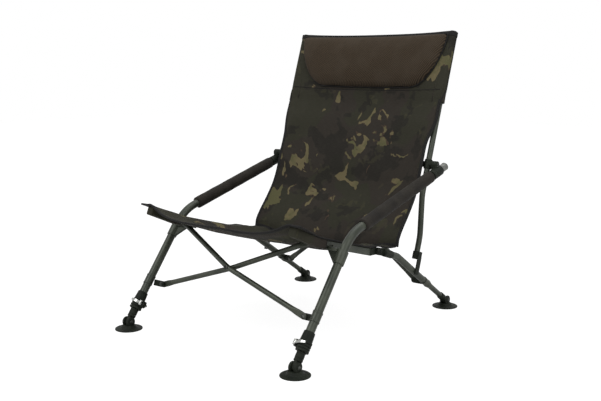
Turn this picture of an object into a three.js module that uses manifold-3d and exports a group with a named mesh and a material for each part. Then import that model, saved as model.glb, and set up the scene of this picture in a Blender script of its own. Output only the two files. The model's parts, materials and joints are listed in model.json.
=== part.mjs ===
// Low folding fishing chair: bent arm and leg tubes, telescopic legs with swivelling mud feet,
// a sling of cloth between two seat rails and two back tubes, and a padded headrest.
// Millimetres, +Z up. The sitter looks along -Y, so the sitter's left side is +X.
import * as THREE from 'three';
import { mergeVertices } from 'three/addons/utils/BufferGeometryUtils.js';
import Module from 'manifold-3d';

const wasm = await Module();
wasm.setup();

const degrees = THREE.MathUtils.degToRad;
const { Vector2, Vector3, Matrix4 } = THREE;

// Fits and cutting
const gap = 0.3;
const runningGap = 0.4;
const overrun = 4;
const sink = 1;

// Half widths of the four vertical planes that the side frames lie in
const armPlane = 287;
const rearPlane = 260.5;
const railPlane = 241.5;
const braceTopPlane = 224;

// Side view of the front leg and the arm, which are one bent tube
const frontAnkle = new Vector2(-256, 20);
const frontLegLean = degrees(37.54);
const frontLegToElbow = 346.8;
const armPitch = degrees(15.6);
const armLength = 461;
const elbowRadius = 125;

// Side view of the rear leg
const rearAnkle = new Vector2(470, 20);
const rearLegPitch = degrees(33.4);
const rearLegToKnee = 317.4;
const kneeRadius = 40;
const kneeToHinge = 81;
const hingeLegPitch = degrees(18.2);

// Side view of the back tube, which runs down past its slider as a strut to the rear leg
const hubFromArmEnd = 39;
const hubAlongArm = armLength - hubFromArmEnd;
const hubAboveArm = 20;
const backLean = degrees(18.7);
const backTubeAboveHub = 379;
const backTubeBelowHub = 87;
const strutUpperLean = degrees(3.5);
const strutUpperLength = 113;
const strutBendRadius = 100;
const strutLowBendRadius = 120;
const strutPivotOnLeg = 215.6;

// Side view of the seat rail
const railHinge = new Vector2(-113, 280);
const railPitch = degrees(15.3);
const railBehindHinge = 217;
const railAheadOfHinge = 8;
const railNosePitch = degrees(23);
const railNoseLength = 96;
const railBendRadius = 120;

// Tube sections
const tubeSides = 10;
const smallSides = 8;
const turnedSides = 14;
const bendStep = degrees(10);
const armTube = { outer: 11, bore: 9.8 };
const frontInnerTube = { outer: 9.5, bore: 8.2 };
const rearTube = { outer: 9.3, bore: 8.0 };
const rearInnerTube = { outer: 7.7, bore: 6.5 };
const backTube = { outer: 8 };
const braceTube = { outer: 6.8 };
const railSection = { width: 16, height: 19, corner: 2.5 };

// Telescopic legs, measured up from the ankle pin
const frontLeg = { tubeStart: 46, innerTop: 205, ferruleBottom: 14, ferruleTop: 37.8, ferrule: 11 };
const rearLeg = { tubeStart: 115, innerTop: 212, ferruleBottom: 14, ferruleTop: 36, ferrule: 10 };
const tongue = { halfWidth: 4.3, radius: 8.5, neck: 6.5 };
const spigotLength = 14;
const anklePinRadius = 3;

// Mud foot
const foot = {
  radius: 36.5, rim: 2.4, dish: 4.4, shoulder: 22, bossHeight: 12, domeRadius: 18.5,
  earRadius: 13.2, slotHalfWidth: 4.7, pinHead: 5.2, pinHeadHeight: 1.4,
};

// Cam clamp on the front leg
const clamp = {
  bottom: 38.6, top: 88, lip: 6.5, bottomRadius: 16.5, shoulder: 15.2, topRadius: 13.6, ribs: 3, ribPitch: 6.6,
  ribDepth: 0.9, ribStart: 42.6, split: 2.4, earReach: 25.5, earHalf: 7.2, earBottom: 46, earTop: 64,
  boltRadius: 2.5, boltOut: 20.8, boltHeight: 55, nutRadius: 4.3, nutLength: 4, boltTail: 3.5,
};
const clampLever = { thickness: 2.4, height: 13, sweep: degrees(96), bossRadius: 3.6, standOff: 0.7 };

// Front scissor brackets and knuckles
const brace = {
  offset: 7.3, tabThickness: 5, tabHalf: 8.2, tabLength: 30, tubeInset: 14,
  pinRadius: 3, headRadius: 5.6, head: 1.8,
};
const knucklePin = 4.5;
const lugThickness = 9;
const frontLowerPivot = { inboard: 39, alongLeg: 126, behindLeg: 13 };
const frontLowerPivotHalf = armPlane - frontLowerPivot.inboard;
const knuckleReach = 26.5;
const frontUpperPivotHalf = railPlane - knuckleReach;
const frontCrossing = { rise: 77.7, bow: 22 };
const crossingBendRadius = 140;
const bracketCollar = { wall: 2.4, height: 27 };

// Rear scissor
const rearLowerPivot = { half: braceTopPlane, alongLeg: 138 };
const rearLug = { thickness: 6, play: 0.98, headGap: 1.4 };
const frontLug = { thickness: lugThickness, play: runningGap, headGap: gap };

// Arm hub, slider and strut boot
const hub = { ahead: 34, behind: 12, radius: 14.4, lugInner: 274.2, lugRadius: 10, pinRadius: 4, pinTip: 270 };
const slider = { radius: 10.7, halfHeight: 13, bossRadius: 9, bossOuter: 273.7, lugHalf: 8 };
const boot = {
  radius: 10.6, bottom: 7, top: 34, cheekInner: 270.2, cheekOuter: 273.4, cheekRadius: 9,
  pinRadius: 3.5, pinTip: 263,
};

// Saddle that the seat rail rests in, on the front leg
const saddle = { radius: 13.6, below: 46, halfDepth: 11, wall: 3.2, rise: 6.5, footHalf: 17, sideGap: 0.9 };

// Grip and end cap
const grip = { start: 52, hubGap: 4, radius: 16.5, round: 3.5 };
const gripEnd = hubAlongArm - hub.ahead - grip.hubGap;
const endCap = { radius: 11.4, dome: 3.2, spigot: 12 };

// Hinge between the seat rail and the rear leg
const plug = { start: 14, end: 50, radius: 10.4, eyeRadius: 10, innerFace: 250.5, spigot: 16 };
const link = { innerFace: 243.5, outerFace: 250, eyeRadius: 9.6, rivetRadius: 5, rivetHead: 2 };

// Cloth: the side edges as places behind and above the rail hinge, and above the slider
const cloth = { thickness: 3 };
const seatEdgePlaces = [
  [-101, 54.4], [-77, 44.2], [-52, 33.6], [-27, 23.2], [-3, 13.7], [61, -4.6], [132, -24], [184, -38.2],
  [211, -44], [245, -47], [295, -60], [329.8, -63],
];
const backEdgePlaces = [
  [-137.4, -210.4], [-132.4, -189.8], [-116.4, -165.8], [-94.4, -139.8], [-72.4, -111.8], [-53.4, -83.8],
  [-38.4, -51.8], [-27.4, -19.8], [-15.4, 16.2], [0.6, 62.2], [19.6, 114.2], [36.6, 162.2],
];
const seatRipple = 1.6;
const seatFrontRise = 4;
const backFold = 2;
const seatColumns = 16;
const seatRows = 16;
const backColumns = 16;
const wrapColumns = 3;
const hemStep = 6;
const seatFrontHalf = 270;
const seatMidHalf = 254;
const seatRearHalf = 249;
const seatSag = 34;
const seatRearSag = 22;
const backEdgeHalf = 255;
const pocketWrap = degrees(160);
const pocketFrom = 168;
const backTopReach = 380;
const backSag = 24;
const backTopSag = 15;
const backTopDroop = 9;
const pillowColumns = 16;
const pillowRows = 10;
const pillow = { top: 372, height: 142, topHalf: 254, bottomHalf: 178, crown: 30, edge: 5, standOff: 1.2 };

// Finishes
function finish(color, roughness, metalness) {
  return new THREE.MeshStandardMaterial({ color, roughness, metalness });
}
const paint = () => finish(0x3c4238, 0.5, 0.35);
const plastic = () => finish(0x2b2d29, 0.65, 0);
const steel = () => finish(0xb9bcb9, 0.3, 1);
const foamSleeve = () => finish(0x2a2724, 0.9, 0);
const camoCloth = () => finish(0x38342c, 0.95, 0);
const meshCloth = () => finish(0x3f332a, 0.9, 0);

// Solids: a geometry with merged corners becomes a solid, and back
function solidOf(geometry) {
  const bare = new THREE.BufferGeometry();
  bare.setAttribute('position', geometry.getAttribute('position').clone());
  if (geometry.index) bare.setIndex(geometry.index.clone());
  const merged = mergeVertices(bare, 1e-4);
  return new wasm.Manifold(new wasm.Mesh({
    numProp: 3,
    vertProperties: new Float32Array(merged.getAttribute('position').array),
    triVerts: new Uint32Array(merged.index.array),
  }));
}

function geometryOf(solid) {
  const mesh = solid.getMesh();
  const geometry = new THREE.BufferGeometry();
  geometry.setAttribute('position', new THREE.BufferAttribute(new Float32Array(mesh.vertProperties), 3));
  geometry.setIndex(new THREE.BufferAttribute(new Uint32Array(mesh.triVerts), 1));
  geometry.computeVertexNormals();
  return geometry;
}

function join(...pieces) {
  return geometryOf(pieces.map(solidOf).reduce((whole, piece) => whole.add(piece)));
}

function cut(body, ...tools) {
  return geometryOf(tools.map(solidOf).reduce((whole, tool) => whole.subtract(tool), solidOf(body)));
}

function moved(geometry, matrix) {
  return geometry.clone().applyMatrix4(matrix);
}

// Basic shapes, each placed by its limits along the local axes
function block(low, high) {
  const size = new Vector3().subVectors(high, low);
  const middle = new Vector3().addVectors(low, high).multiplyScalar(0.5);
  return new THREE.BoxGeometry(size.x, size.y, size.z).translate(middle.x, middle.y, middle.z);
}

function rodZ(radius, from, to, sides = smallSides) {
  const length = Math.abs(to - from);
  const rod = new THREE.CylinderGeometry(radius, radius, length, sides).rotateX(Math.PI / 2);
  return rod.translate(0, 0, (from + to) / 2);
}

function rodX(radius, from, to, y, z, sides = smallSides) {
  return rodZ(radius, from, to, sides).rotateY(Math.PI / 2).translate(0, y, z);
}

function rodY(radius, from, to, x, z, sides = smallSides) {
  return rodZ(radius, from, to, sides).rotateX(-Math.PI / 2).translate(x, 0, z);
}

// A bore's flats lie at its radius, so that a round rod of that radius clears them
function boreRadius(radius, sides) {
  return radius / Math.cos(Math.PI / sides);
}

function turned(profile, sides = turnedSides) {
  return new THREE.LatheGeometry(profile.map(([r, h]) => new Vector2(r, h)), sides).rotateX(Math.PI / 2);
}

function sleeve(outer, bore, from, to, sides = turnedSides) {
  const inside = boreRadius(bore, sides);
  return turned([[inside, from], [outer, from], [outer, to], [inside, to], [inside, from]], sides);
}

function polygon(radius, sides) {
  const points = [];
  for (let side = 0; side < sides; side += 1) {
    const angle = (2 * Math.PI * (side + 0.5)) / sides;
    points.push(new Vector2(radius * Math.cos(angle), radius * Math.sin(angle)));
  }
  return points;
}

function ringShape(section, sides = tubeSides) {
  const shape = new THREE.Shape(polygon(section.outer, sides));
  if (section.bore) shape.holes.push(new THREE.Path(polygon(boreRadius(section.bore, sides), sides).reverse()));
  return shape;
}

function roundedBox(halfWidth, halfHeight, corner) {
  const shape = new THREE.Shape();
  shape.moveTo(-halfWidth + corner, -halfHeight);
  shape.lineTo(halfWidth - corner, -halfHeight);
  shape.absarc(halfWidth - corner, -halfHeight + corner, corner, -Math.PI / 2, 0);
  shape.absarc(halfWidth - corner, halfHeight - corner, corner, 0, Math.PI / 2);
  shape.absarc(-halfWidth + corner, halfHeight - corner, corner, Math.PI / 2, Math.PI);
  shape.absarc(-halfWidth + corner, -halfHeight + corner, corner, Math.PI, 1.5 * Math.PI);
  return shape;
}

// An outline with straight sides from a base line to a round end, in the plane of the caller
function tabOutline(baseAt, endAt, half) {
  const direction = Math.sign(endAt - baseAt);
  const shape = new THREE.Shape();
  shape.moveTo(baseAt, -half * direction);
  shape.lineTo(endAt, -half * direction);
  shape.absarc(endAt, 0, half, (-Math.PI / 2) * direction, (Math.PI / 2) * direction);
  shape.lineTo(baseAt, half * direction);
  return shape;
}

// A plate whose outline lies in X and Z, from one place along Y to another
function plateXZ(shape, from, to) {
  const plate = new THREE.ExtrudeGeometry(shape, { depth: to - from, bevelEnabled: false, curveSegments: 5 });
  return plate.rotateX(Math.PI / 2).translate(0, to, 0);
}

// A plate whose outline lies in Y and Z, from one place along X to another
function plateYZ(shape, from, to) {
  const plate = new THREE.ExtrudeGeometry(shape, { depth: to - from, bevelEnabled: false, curveSegments: 5 });
  return plate.rotateX(Math.PI / 2).rotateZ(Math.PI / 2).translate(from, 0, 0);
}

// A path of straight runs and round bends, sampled only where it turns
class BentPath extends THREE.Curve {
  constructor(corners, radii) {
    super();
    this.points = [];
    this.tangents = [];
    const last = corners.length - 1;
    for (let index = 0; index <= last; index += 1) {
      const corner = corners[index];
      const before = index > 0 ? new Vector3().subVectors(corner, corners[index - 1]).normalize() : null;
      const after = index < last ? new Vector3().subVectors(corners[index + 1], corner).normalize() : null;
      if (!before || !after) this.addStation(corner, before || after);
      else this.addBend(corner, before, after, radii[index - 1]);
    }
    this.stations = this.points.length - 1;
  }

  addStation(point, tangent) {
    this.points.push(point.clone());
    this.tangents.push(tangent.clone().normalize());
  }

  addBend(corner, before, after, radius) {
    const turn = before.angleTo(after);
    const back = radius * Math.tan(turn / 2);
    const inward = new Vector3().subVectors(after, before).normalize();
    const centre = corner.clone().addScaledVector(inward, radius / Math.cos(turn / 2));
    const start = corner.clone().addScaledVector(before, -back);
    const spoke = new Vector3().subVectors(start, centre);
    const axis = new Vector3().crossVectors(before, after).normalize();
    const steps = Math.max(2, Math.ceil(turn / bendStep));
    for (let step = 0; step <= steps; step += 1) {
      const angle = (turn * step) / steps;
      const point = spoke.clone().applyAxisAngle(axis, angle).add(centre);
      this.addStation(point, before.clone().applyAxisAngle(axis, angle));
    }
  }

  getPointAt(share, target = new Vector3()) {
    return target.copy(this.points[Math.round(share * this.stations)]);
  }

  getTangentAt(share, target = new Vector3()) {
    return target.copy(this.tangents[Math.round(share * this.stations)]);
  }
}

function sweep(shape, path) {
  return new THREE.ExtrudeGeometry(shape, {
    extrudePath: path, steps: path.stations, bevelEnabled: false, curveSegments: 2,
  });
}

// A closed sheet between a front and a back surface, each a function of two shares from 0 to 1
function sheet(front, back, columns, rows) {
  const positions = [];
  const index = [];
  const across = columns + 1;
  const layer = across * (rows + 1);
  for (const surface of [front, back]) {
    for (let row = 0; row <= rows; row += 1) {
      for (let column = 0; column <= columns; column += 1) {
        positions.push(...surface(column / columns, row / rows).toArray());
      }
    }
  }
  const quad = (a, b, c, d) => index.push(a, b, c, a, c, d);
  const at = (column, row) => row * across + column;
  for (let row = 0; row < rows; row += 1) {
    for (let column = 0; column < columns; column += 1) {
      const corners = [at(column, row), at(column + 1, row), at(column + 1, row + 1), at(column, row + 1)];
      quad(...corners);
      quad(...corners.map((corner) => corner + layer).reverse());
    }
  }
  const rim = [];
  for (let column = 0; column < columns; column += 1) rim.push(at(column, 0));
  for (let row = 0; row < rows; row += 1) rim.push(at(columns, row));
  for (let column = columns; column > 0; column -= 1) rim.push(at(column, rows));
  for (let row = rows; row > 0; row -= 1) rim.push(at(0, row));
  rim.forEach((corner, order) => {
    const next = rim[(order + 1) % rim.length];
    quad(corner, corner + layer, next + layer, next);
  });
  const geometry = new THREE.BufferGeometry();
  geometry.setAttribute('position', new THREE.Float32BufferAttribute(positions, 3));
  geometry.setIndex(index);
  geometry.computeVertexNormals();
  return geometry;
}

// Places in the side view: x is to the rear and y is up
function step(from, pitch, distance) {
  return new Vector2(from.x + distance * Math.cos(pitch), from.y + distance * Math.sin(pitch));
}
const upright = Math.PI / 2;
const elbow = step(frontAnkle, upright - frontLegLean, frontLegToElbow);
const armEnd = step(elbow, armPitch, armLength);
const hubPivot = step(step(elbow, armPitch, hubAlongArm), armPitch + upright, hubAboveArm);
const rearLegUp = Math.PI - rearLegPitch;
const knee = step(rearAnkle, rearLegUp, rearLegToKnee);
const hingeUp = Math.PI - hingeLegPitch;
const kneeHinge = step(knee, hingeUp, kneeToHinge);
const strutPivot = step(rearAnkle, rearLegUp, strutPivotOnLeg);
const backUp = upright - backLean;
const backTop = step(hubPivot, backUp, backTubeAboveHub);
const strutTopBend = step(hubPivot, backUp, -backTubeBelowHub);
const strutLowBend = step(strutTopBend, upright - strutUpperLean, -strutUpperLength);
const lowerPivot = step(
  step(frontAnkle, upright - frontLegLean, frontLowerPivot.alongLeg),
  -frontLegLean,
  frontLowerPivot.behindLeg,
);
const rearBracketPivot = step(rearAnkle, rearLegUp, rearLowerPivot.alongLeg);
const railDown = -railPitch;
const railRearEnd = step(railHinge, railDown, railBehindHinge);
const railFrontBend = step(railHinge, Math.PI - railPitch, railAheadOfHinge);
const railTip = step(railFrontBend, Math.PI - railNosePitch, railNoseLength);

// A frame has its origin at a place in the side view and its local Z along a pitch in that view
function frameAt(place, pitch, x = 0) {
  const frame = new THREE.Group();
  frame.position.set(x, place.x, place.y);
  frame.rotation.x = pitch - upright;
  frame.updateMatrix();
  return frame;
}

function between(from, to) {
  return new Matrix4().copy(to.matrix).invert().multiply(from.matrix);
}

const chair = new THREE.Group();

function add(frame, name, geometry, material) {
  const mesh = new THREE.Mesh(geometry, material);
  mesh.name = name;
  frame.add(mesh);
}

function sidePath(places, radii) {
  return new BentPath(places.map((place) => new Vector3(0, place.x, place.y)), radii);
}

// The two scissor planes. Local X runs across the chair and local Z up the plane.
const frontScissorPitch = Math.atan2(railHinge.y - lowerPivot.y, railHinge.x - lowerPivot.x);
const frontScissor = frameAt(lowerPivot, frontScissorPitch);
const frontScissorRise = lowerPivot.distanceTo(railHinge);
const rearScissorPitch = Math.atan2(hubPivot.y - rearBracketPivot.y, hubPivot.x - rearBracketPivot.x);
const rearScissor = frameAt(rearBracketPivot, rearScissorPitch);
const rearScissorRise = rearBracketPivot.distanceTo(hubPivot);

// A piece of both side frames, modelled at the left and mirrored to the right
function pair(frame, name, geometry, material) {
  const solid = solidOf(geometry);
  add(frame, `left_${name}`, geometryOf(solid), material());
  add(frame, `right_${name}`, geometryOf(solid.mirror([1, 0, 0])), material());
  if (frame.parent !== chair) chair.add(frame);
}

const legUp = upright - frontLegLean;
const side = frameAt(new Vector2(0, 0), upright);
const frontLegFrame = frameAt(frontAnkle, legUp);
const armFrame = frameAt(elbow, armPitch);
const rearLegFrame = frameAt(rearAnkle, rearLegUp);
const hingeFrame = frameAt(kneeHinge, hingeUp);
const backFrame = frameAt(hubPivot, backUp);
const strutPitch = Math.atan2(strutLowBend.y - strutPivot.y, strutLowBend.x - strutPivot.x);
const strutFrame = frameAt(strutPivot, strutPitch);
const railFrame = frameAt(railHinge, railDown);
const knuckleFrame = frameAt(railHinge, frontScissorPitch);

// A member's own centre line put at a half width, for shapes turned about local Z
function atX(geometry, x) {
  return geometry.translate(x, 0, 0);
}

// The bent tube of the front leg and the arm
const armPath = sidePath([step(frontAnkle, legUp, frontLeg.tubeStart), elbow, armEnd], [elbowRadius]);
pair(side, 'leg_arm_tube', atX(sweep(ringShape(armTube), armPath), armPlane), paint);

const tubeFit = armTube.outer + gap;
const armClearance = atX(
  sweep(new THREE.Shape(polygon(boreRadius(tubeFit, tubeSides), tubeSides)), armPath),
  armPlane,
);

// Foam grip with rounded ends
const gripBore = boreRadius(tubeFit, turnedSides);
pair(armFrame, 'arm_grip', atX(turned([
  [gripBore, grip.start],
  [grip.radius - grip.round, grip.start],
  [grip.radius, grip.start + grip.round],
  [grip.radius, gripEnd - grip.round],
  [grip.radius - grip.round, gripEnd],
  [gripBore, gripEnd],
  [gripBore, grip.start],
]), armPlane), foamSleeve);

// Domed cap in the end of the arm
const capSpigot = armTube.bore - gap;
pair(armFrame, 'arm_end_cap', atX(turned([
  [0, armLength - endCap.spigot],
  [capSpigot, armLength - endCap.spigot],
  [capSpigot, armLength + gap],
  [endCap.radius, armLength + gap],
  [endCap.radius, armLength + endCap.dome / 2],
  [endCap.radius * 0.7, armLength + endCap.dome],
  [0, armLength + endCap.dome],
]), armPlane), plastic);

// Saddle on the leg that takes the weight of the rail
const railCentre = step(railHinge, railDown, saddle.below);
const channelHalf = railSection.width / 2 + saddle.sideGap;
const channelFloor = railSection.height / 2 + gap;
const channelBlock = block(
  new Vector3(railPlane - channelHalf - saddle.wall, channelFloor - saddle.rise, -saddle.footHalf),
  new Vector3(armPlane - tubeFit + saddle.wall / 2, channelFloor + saddle.wall, saddle.footHalf),
).translate(0, 0, saddle.below);
const channelSpace = block(
  new Vector3(railPlane - channelHalf, -railSection.height, -2 * saddle.footHalf),
  new Vector3(railPlane + channelHalf, channelFloor, 2 * saddle.footHalf),
).translate(0, 0, saddle.below);
const webSpace = block(
  new Vector3(railPlane + channelHalf + saddle.wall, -railSection.height, -2 * saddle.footHalf),
  new Vector3(armPlane + saddle.radius, channelFloor - saddle.wall, 2 * saddle.footHalf),
).translate(0, 0, saddle.below);
const saddleBase = railCentre.clone().sub(frontAnkle);
const saddleAlong = saddleBase.x * Math.cos(legUp) + saddleBase.y * Math.sin(legUp);
const gusset = new THREE.Shape();
gusset.moveTo(railPlane - channelHalf - saddle.wall, saddleAlong);
gusset.lineTo(armPlane - saddle.radius, saddleAlong - saddle.below);
gusset.lineTo(armPlane, saddleAlong - saddle.below);
gusset.lineTo(armPlane, saddleAlong);
gusset.closePath();
const railToLeg = between(railFrame, frontLegFrame);
pair(frontLegFrame, 'front_saddle', cut(
  join(
    moved(channelBlock, railToLeg),
    plateXZ(gusset, -saddle.wall, saddle.wall),
    atX(rodZ(saddle.radius, saddleAlong - saddle.below, saddleAlong - saddle.halfDepth, turnedSides), armPlane),
  ),
  moved(channelSpace, railToLeg),
  moved(webSpace, railToLeg),
  moved(armClearance, between(side, frontLegFrame)),
), paint);

// A collar round a leg with a lug that reaches in to a scissor pivot
function scissorBracket(tubeRadius, along, plane, reach, lugForm, legFrame, scissorFrame) {
  const halfHeight = bracketCollar.height / 2;
  const collarRadius = tubeRadius + gap + bracketCollar.wall;
  const collar = rodZ(collarRadius, -halfHeight, halfHeight, turnedSides).translate(plane, 0, along);
  const half = lugForm.thickness / 2;
  const lug = plateXZ(tabOutline(plane, reach, brace.tabHalf), -half, half);
  const pinHole = rodY(boreRadius(brace.pinRadius + lugForm.play, smallSides), -2 * half, 2 * half, reach, 0);
  const toLeg = between(scissorFrame, legFrame);
  return cut(
    join(collar, moved(lug, toLeg)),
    moved(pinHole, toLeg),
    rodZ(boreRadius(tubeRadius + gap, turnedSides), along - bracketCollar.height, along + bracketCollar.height,
      turnedSides).translate(plane, 0, 0),
  );
}

pair(frontLegFrame, 'front_brace_bracket', scissorBracket(
  armTube.outer, frontLowerPivot.alongLeg, armPlane, frontLowerPivotHalf, frontLug, frontLegFrame, frontScissor,
), plastic);
pair(rearLegFrame, 'rear_brace_bracket', scissorBracket(
  rearTube.outer, rearLowerPivot.alongLeg, rearPlane, rearLowerPivot.half, rearLug, rearLegFrame, rearScissor,
), plastic);

// Cam clamp: a ribbed collar that is split on its inner side, with two ears for the bolt
const clampBore = boreRadius(tubeFit, turnedSides);
const lipBore = boreRadius(frontInnerTube.outer + gap, turnedSides);
const clampProfile = [[lipBore, clamp.bottom], [clamp.bottomRadius, clamp.bottom]];
for (let rib = 0; rib < clamp.ribs; rib += 1) {
  const height = clamp.ribStart + rib * clamp.ribPitch;
  clampProfile.push([clamp.bottomRadius, height]);
  clampProfile.push([clamp.bottomRadius - clamp.ribDepth, height + clamp.ribDepth]);
  clampProfile.push([clamp.bottomRadius - clamp.ribDepth, height + clamp.ribPitch - 2 * clamp.ribDepth]);
  clampProfile.push([clamp.bottomRadius, height + clamp.ribPitch - clamp.ribDepth]);
}
clampProfile.push(
  [clamp.shoulder, clamp.earTop],
  [clamp.topRadius, clamp.top],
  [clampBore, clamp.top],
  [clampBore, clamp.bottom + clamp.lip],
  [lipBore, clamp.bottom + clamp.lip],
  [lipBore, clamp.bottom],
);
const ears = block(
  new Vector3(-clamp.earReach, -clamp.earHalf, clamp.earBottom),
  new Vector3(-tubeFit - clamp.split / 2, clamp.earHalf, clamp.earTop),
);
const split = block(
  new Vector3(-clamp.earReach - overrun, -clamp.split / 2, clamp.bottom + clamp.lip),
  new Vector3(-armTube.outer / 2, clamp.split / 2, clamp.top + overrun),
);
const earHole = rodY(
  clamp.boltRadius + runningGap, -clamp.earReach, clamp.earReach, -clamp.boltOut, clamp.boltHeight,
);
pair(frontLegFrame, 'front_clamp', atX(
  cut(
    join(turned(clampProfile), ears),
    split,
    earHole,
    rodZ(clampBore, clamp.bottom + clamp.lip, clamp.top, turnedSides),
  ),
  armPlane,
), plastic);

// Bolt with a nut behind and a cross pin in front, which the lever turns on
const leverOut = clamp.earHalf + clampLever.bossRadius + clampLever.standOff;
const crossPin = clampLever.bossRadius - clampLever.thickness / 2 - runningGap;
pair(frontLegFrame, 'front_clamp_bolt', atX(join(
  rodY(
    clamp.boltRadius,
    -leverOut,
    clamp.earHalf + clamp.nutLength + clamp.boltTail,
    -clamp.boltOut,
    clamp.boltHeight,
  ),
  rodY(clamp.nutRadius, clamp.earHalf + gap, clamp.earHalf + clamp.nutLength, -clamp.boltOut, clamp.boltHeight),
  rodZ(crossPin, -clampLever.height / 2, clampLever.height / 2).translate(
    -clamp.boltOut, -leverOut, clamp.boltHeight,
  ),
), armPlane), steel);

// Curved lever that wraps the front of the collar
const leverInner = clamp.bottomRadius + clampLever.standOff;
const leverOuter = leverInner + clampLever.thickness;
const leverStart = Math.PI + Math.atan2(leverOut, clamp.boltOut) + degrees(9);
const leverEnd = leverStart + clampLever.sweep;
const leverBand = new THREE.Shape();
leverBand.absarc(0, 0, leverOuter, leverStart, leverEnd);
leverBand.absarc(0, 0, leverInner, leverEnd, leverStart, true);
leverBand.closePath();
const leverRoot = new Vector2(Math.cos(leverStart), Math.sin(leverStart));
const leverWeb = new THREE.Shape();
const webTop = new Vector2(leverRoot.x * leverOuter * Math.cos(degrees(8)), leverRoot.y * leverOuter);
leverWeb.moveTo(-clamp.boltOut, -leverOut - clampLever.bossRadius);
leverWeb.lineTo(webTop.x, webTop.y - clampLever.thickness / 2);
leverWeb.lineTo(
  leverRoot.x * leverInner + clampLever.thickness,
  leverRoot.y * leverInner - clampLever.thickness,
);
leverWeb.lineTo(leverRoot.x * leverInner, leverRoot.y * leverInner);
leverWeb.lineTo(-clamp.boltOut, -leverOut);
leverWeb.closePath();
function leverSlice(shape) {
  const slice = new THREE.ExtrudeGeometry(
    shape,
    { depth: clampLever.height, bevelEnabled: false, curveSegments: 10 },
  );
  return slice.translate(0, 0, clamp.boltHeight - clampLever.height / 2);
}
const leverBoss = rodZ(
  clampLever.bossRadius,
  -clampLever.height / 2,
  clampLever.height / 2,
  turnedSides,
).translate(-clamp.boltOut, -leverOut, clamp.boltHeight);
const leverEye = rodZ(boreRadius(crossPin + gap, smallSides), -clampLever.height, clampLever.height).translate(
  -clamp.boltOut, -leverOut, clamp.boltHeight,
);
const boltSlot = block(
  new Vector3(
    -clamp.boltOut - 2 * clampLever.bossRadius,
    -leverOut - 2 * clampLever.bossRadius,
    -clamp.boltRadius - gap,
  ),
  new Vector3(
    -clamp.boltOut + clamp.boltRadius + gap,
    -leverOut + 2 * clampLever.bossRadius,
    clamp.boltRadius + gap,
  ),
).translate(0, 0, clamp.boltHeight);
pair(frontLegFrame, 'front_clamp_lever', atX(
  cut(join(leverSlice(leverBand), leverSlice(leverWeb), leverBoss), leverEye, boltSlot),
  armPlane,
), steel);

// Telescopic inner leg, its ferrule with a tongue, the mud foot and the pin
function lowerLeg(kind, legFrame, plane, tube, leg, ankle) {
  const innerStart = leg.ferruleTop + gap;
  pair(legFrame, `${kind}_inner_leg`, atX(
    sleeve(tube.outer, tube.bore, innerStart, leg.innerTop, tubeSides),
    plane,
  ), paint);
  const spigot = tube.bore - gap;
  const barrel = turned([
    [0, leg.ferruleBottom],
    [leg.ferrule - gap, leg.ferruleBottom],
    [leg.ferrule, leg.ferruleBottom + gap],
    [leg.ferrule, leg.ferruleTop - sink],
    [leg.ferrule - sink, leg.ferruleTop],
    [spigot, leg.ferruleTop],
    [spigot, leg.ferruleTop + spigotLength],
    [0, leg.ferruleTop + spigotLength],
  ]);
  const blade = join(
    rodX(tongue.radius, -tongue.halfWidth, tongue.halfWidth, 0, 0, turnedSides),
    block(
      new Vector3(-tongue.halfWidth, -tongue.neck, 0),
      new Vector3(tongue.halfWidth, tongue.neck, leg.ferruleBottom + overrun),
    ),
  );
  const eye = rodX(boreRadius(anklePinRadius + gap, smallSides), -foot.radius, foot.radius, 0, 0);
  pair(legFrame, `${kind}_leg_ferrule`, atX(cut(join(barrel, blade), eye), plane), plastic);

  const footFrame = frameAt(ankle, upright);
  const pinHeight = ankle.y;
  const disc = turned([
    [0, -pinHeight],
    [foot.radius - gap, -pinHeight],
    [foot.radius, gap - pinHeight],
    [foot.radius, foot.rim - pinHeight],
    [foot.radius - foot.rim, foot.dish - pinHeight],
    [foot.shoulder, foot.dish - pinHeight],
    [foot.domeRadius, foot.dish * 2 - pinHeight],
    [foot.domeRadius - foot.rim, foot.bossHeight - pinHeight],
    [0, foot.bossHeight - pinHeight],
  ]);
  const slotRadius = tongue.radius + gap * 2;
  pair(footFrame, `${kind}_mud_foot`, atX(cut(
    join(disc, rodX(foot.earRadius, -leg.ferrule, leg.ferrule, 0, 0, turnedSides)),
    rodX(slotRadius, -foot.slotHalfWidth, foot.slotHalfWidth, 0, 0, turnedSides),
    block(
      new Vector3(-foot.slotHalfWidth, -foot.domeRadius, -foot.slotHalfWidth),
      new Vector3(foot.slotHalfWidth, foot.domeRadius, foot.domeRadius),
    ),
    eye,
  ), plane), plastic);
  pair(footFrame, `${kind}_foot_pin`, atX(join(
    rodX(anklePinRadius, -leg.ferrule - gap * 2, leg.ferrule + gap * 2, 0, 0),
    rodX(foot.pinHead, leg.ferrule + gap, leg.ferrule + gap + foot.pinHeadHeight, 0, 0),
    rodX(foot.pinHead, -leg.ferrule - gap - foot.pinHeadHeight, -leg.ferrule - gap, 0, 0),
  ), plane), steel);
}

lowerLeg('front', frontLegFrame, armPlane, frontInnerTube, frontLeg, frontAnkle);
lowerLeg('rear', rearLegFrame, rearPlane, rearInnerTube, rearLeg, rearAnkle);

// Hub on the arm, with the pivot that the slider of the back tube turns on
const hubBody = join(
  atX(rodZ(hub.radius, hubAlongArm - hub.ahead, hubAlongArm + hub.behind, turnedSides), armPlane),
  plateYZ(tabOutline(0, -hubAboveArm, hub.lugRadius), hub.lugInner, armPlane + overrun)
    .translate(0, 0, hubAlongArm),
  rodX(hub.pinRadius, hub.pinTip, hub.lugInner + gap, -hubAboveArm, hubAlongArm),
);
pair(armFrame, 'arm_hub', cut(hubBody, moved(armClearance, between(side, armFrame))), plastic);

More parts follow.
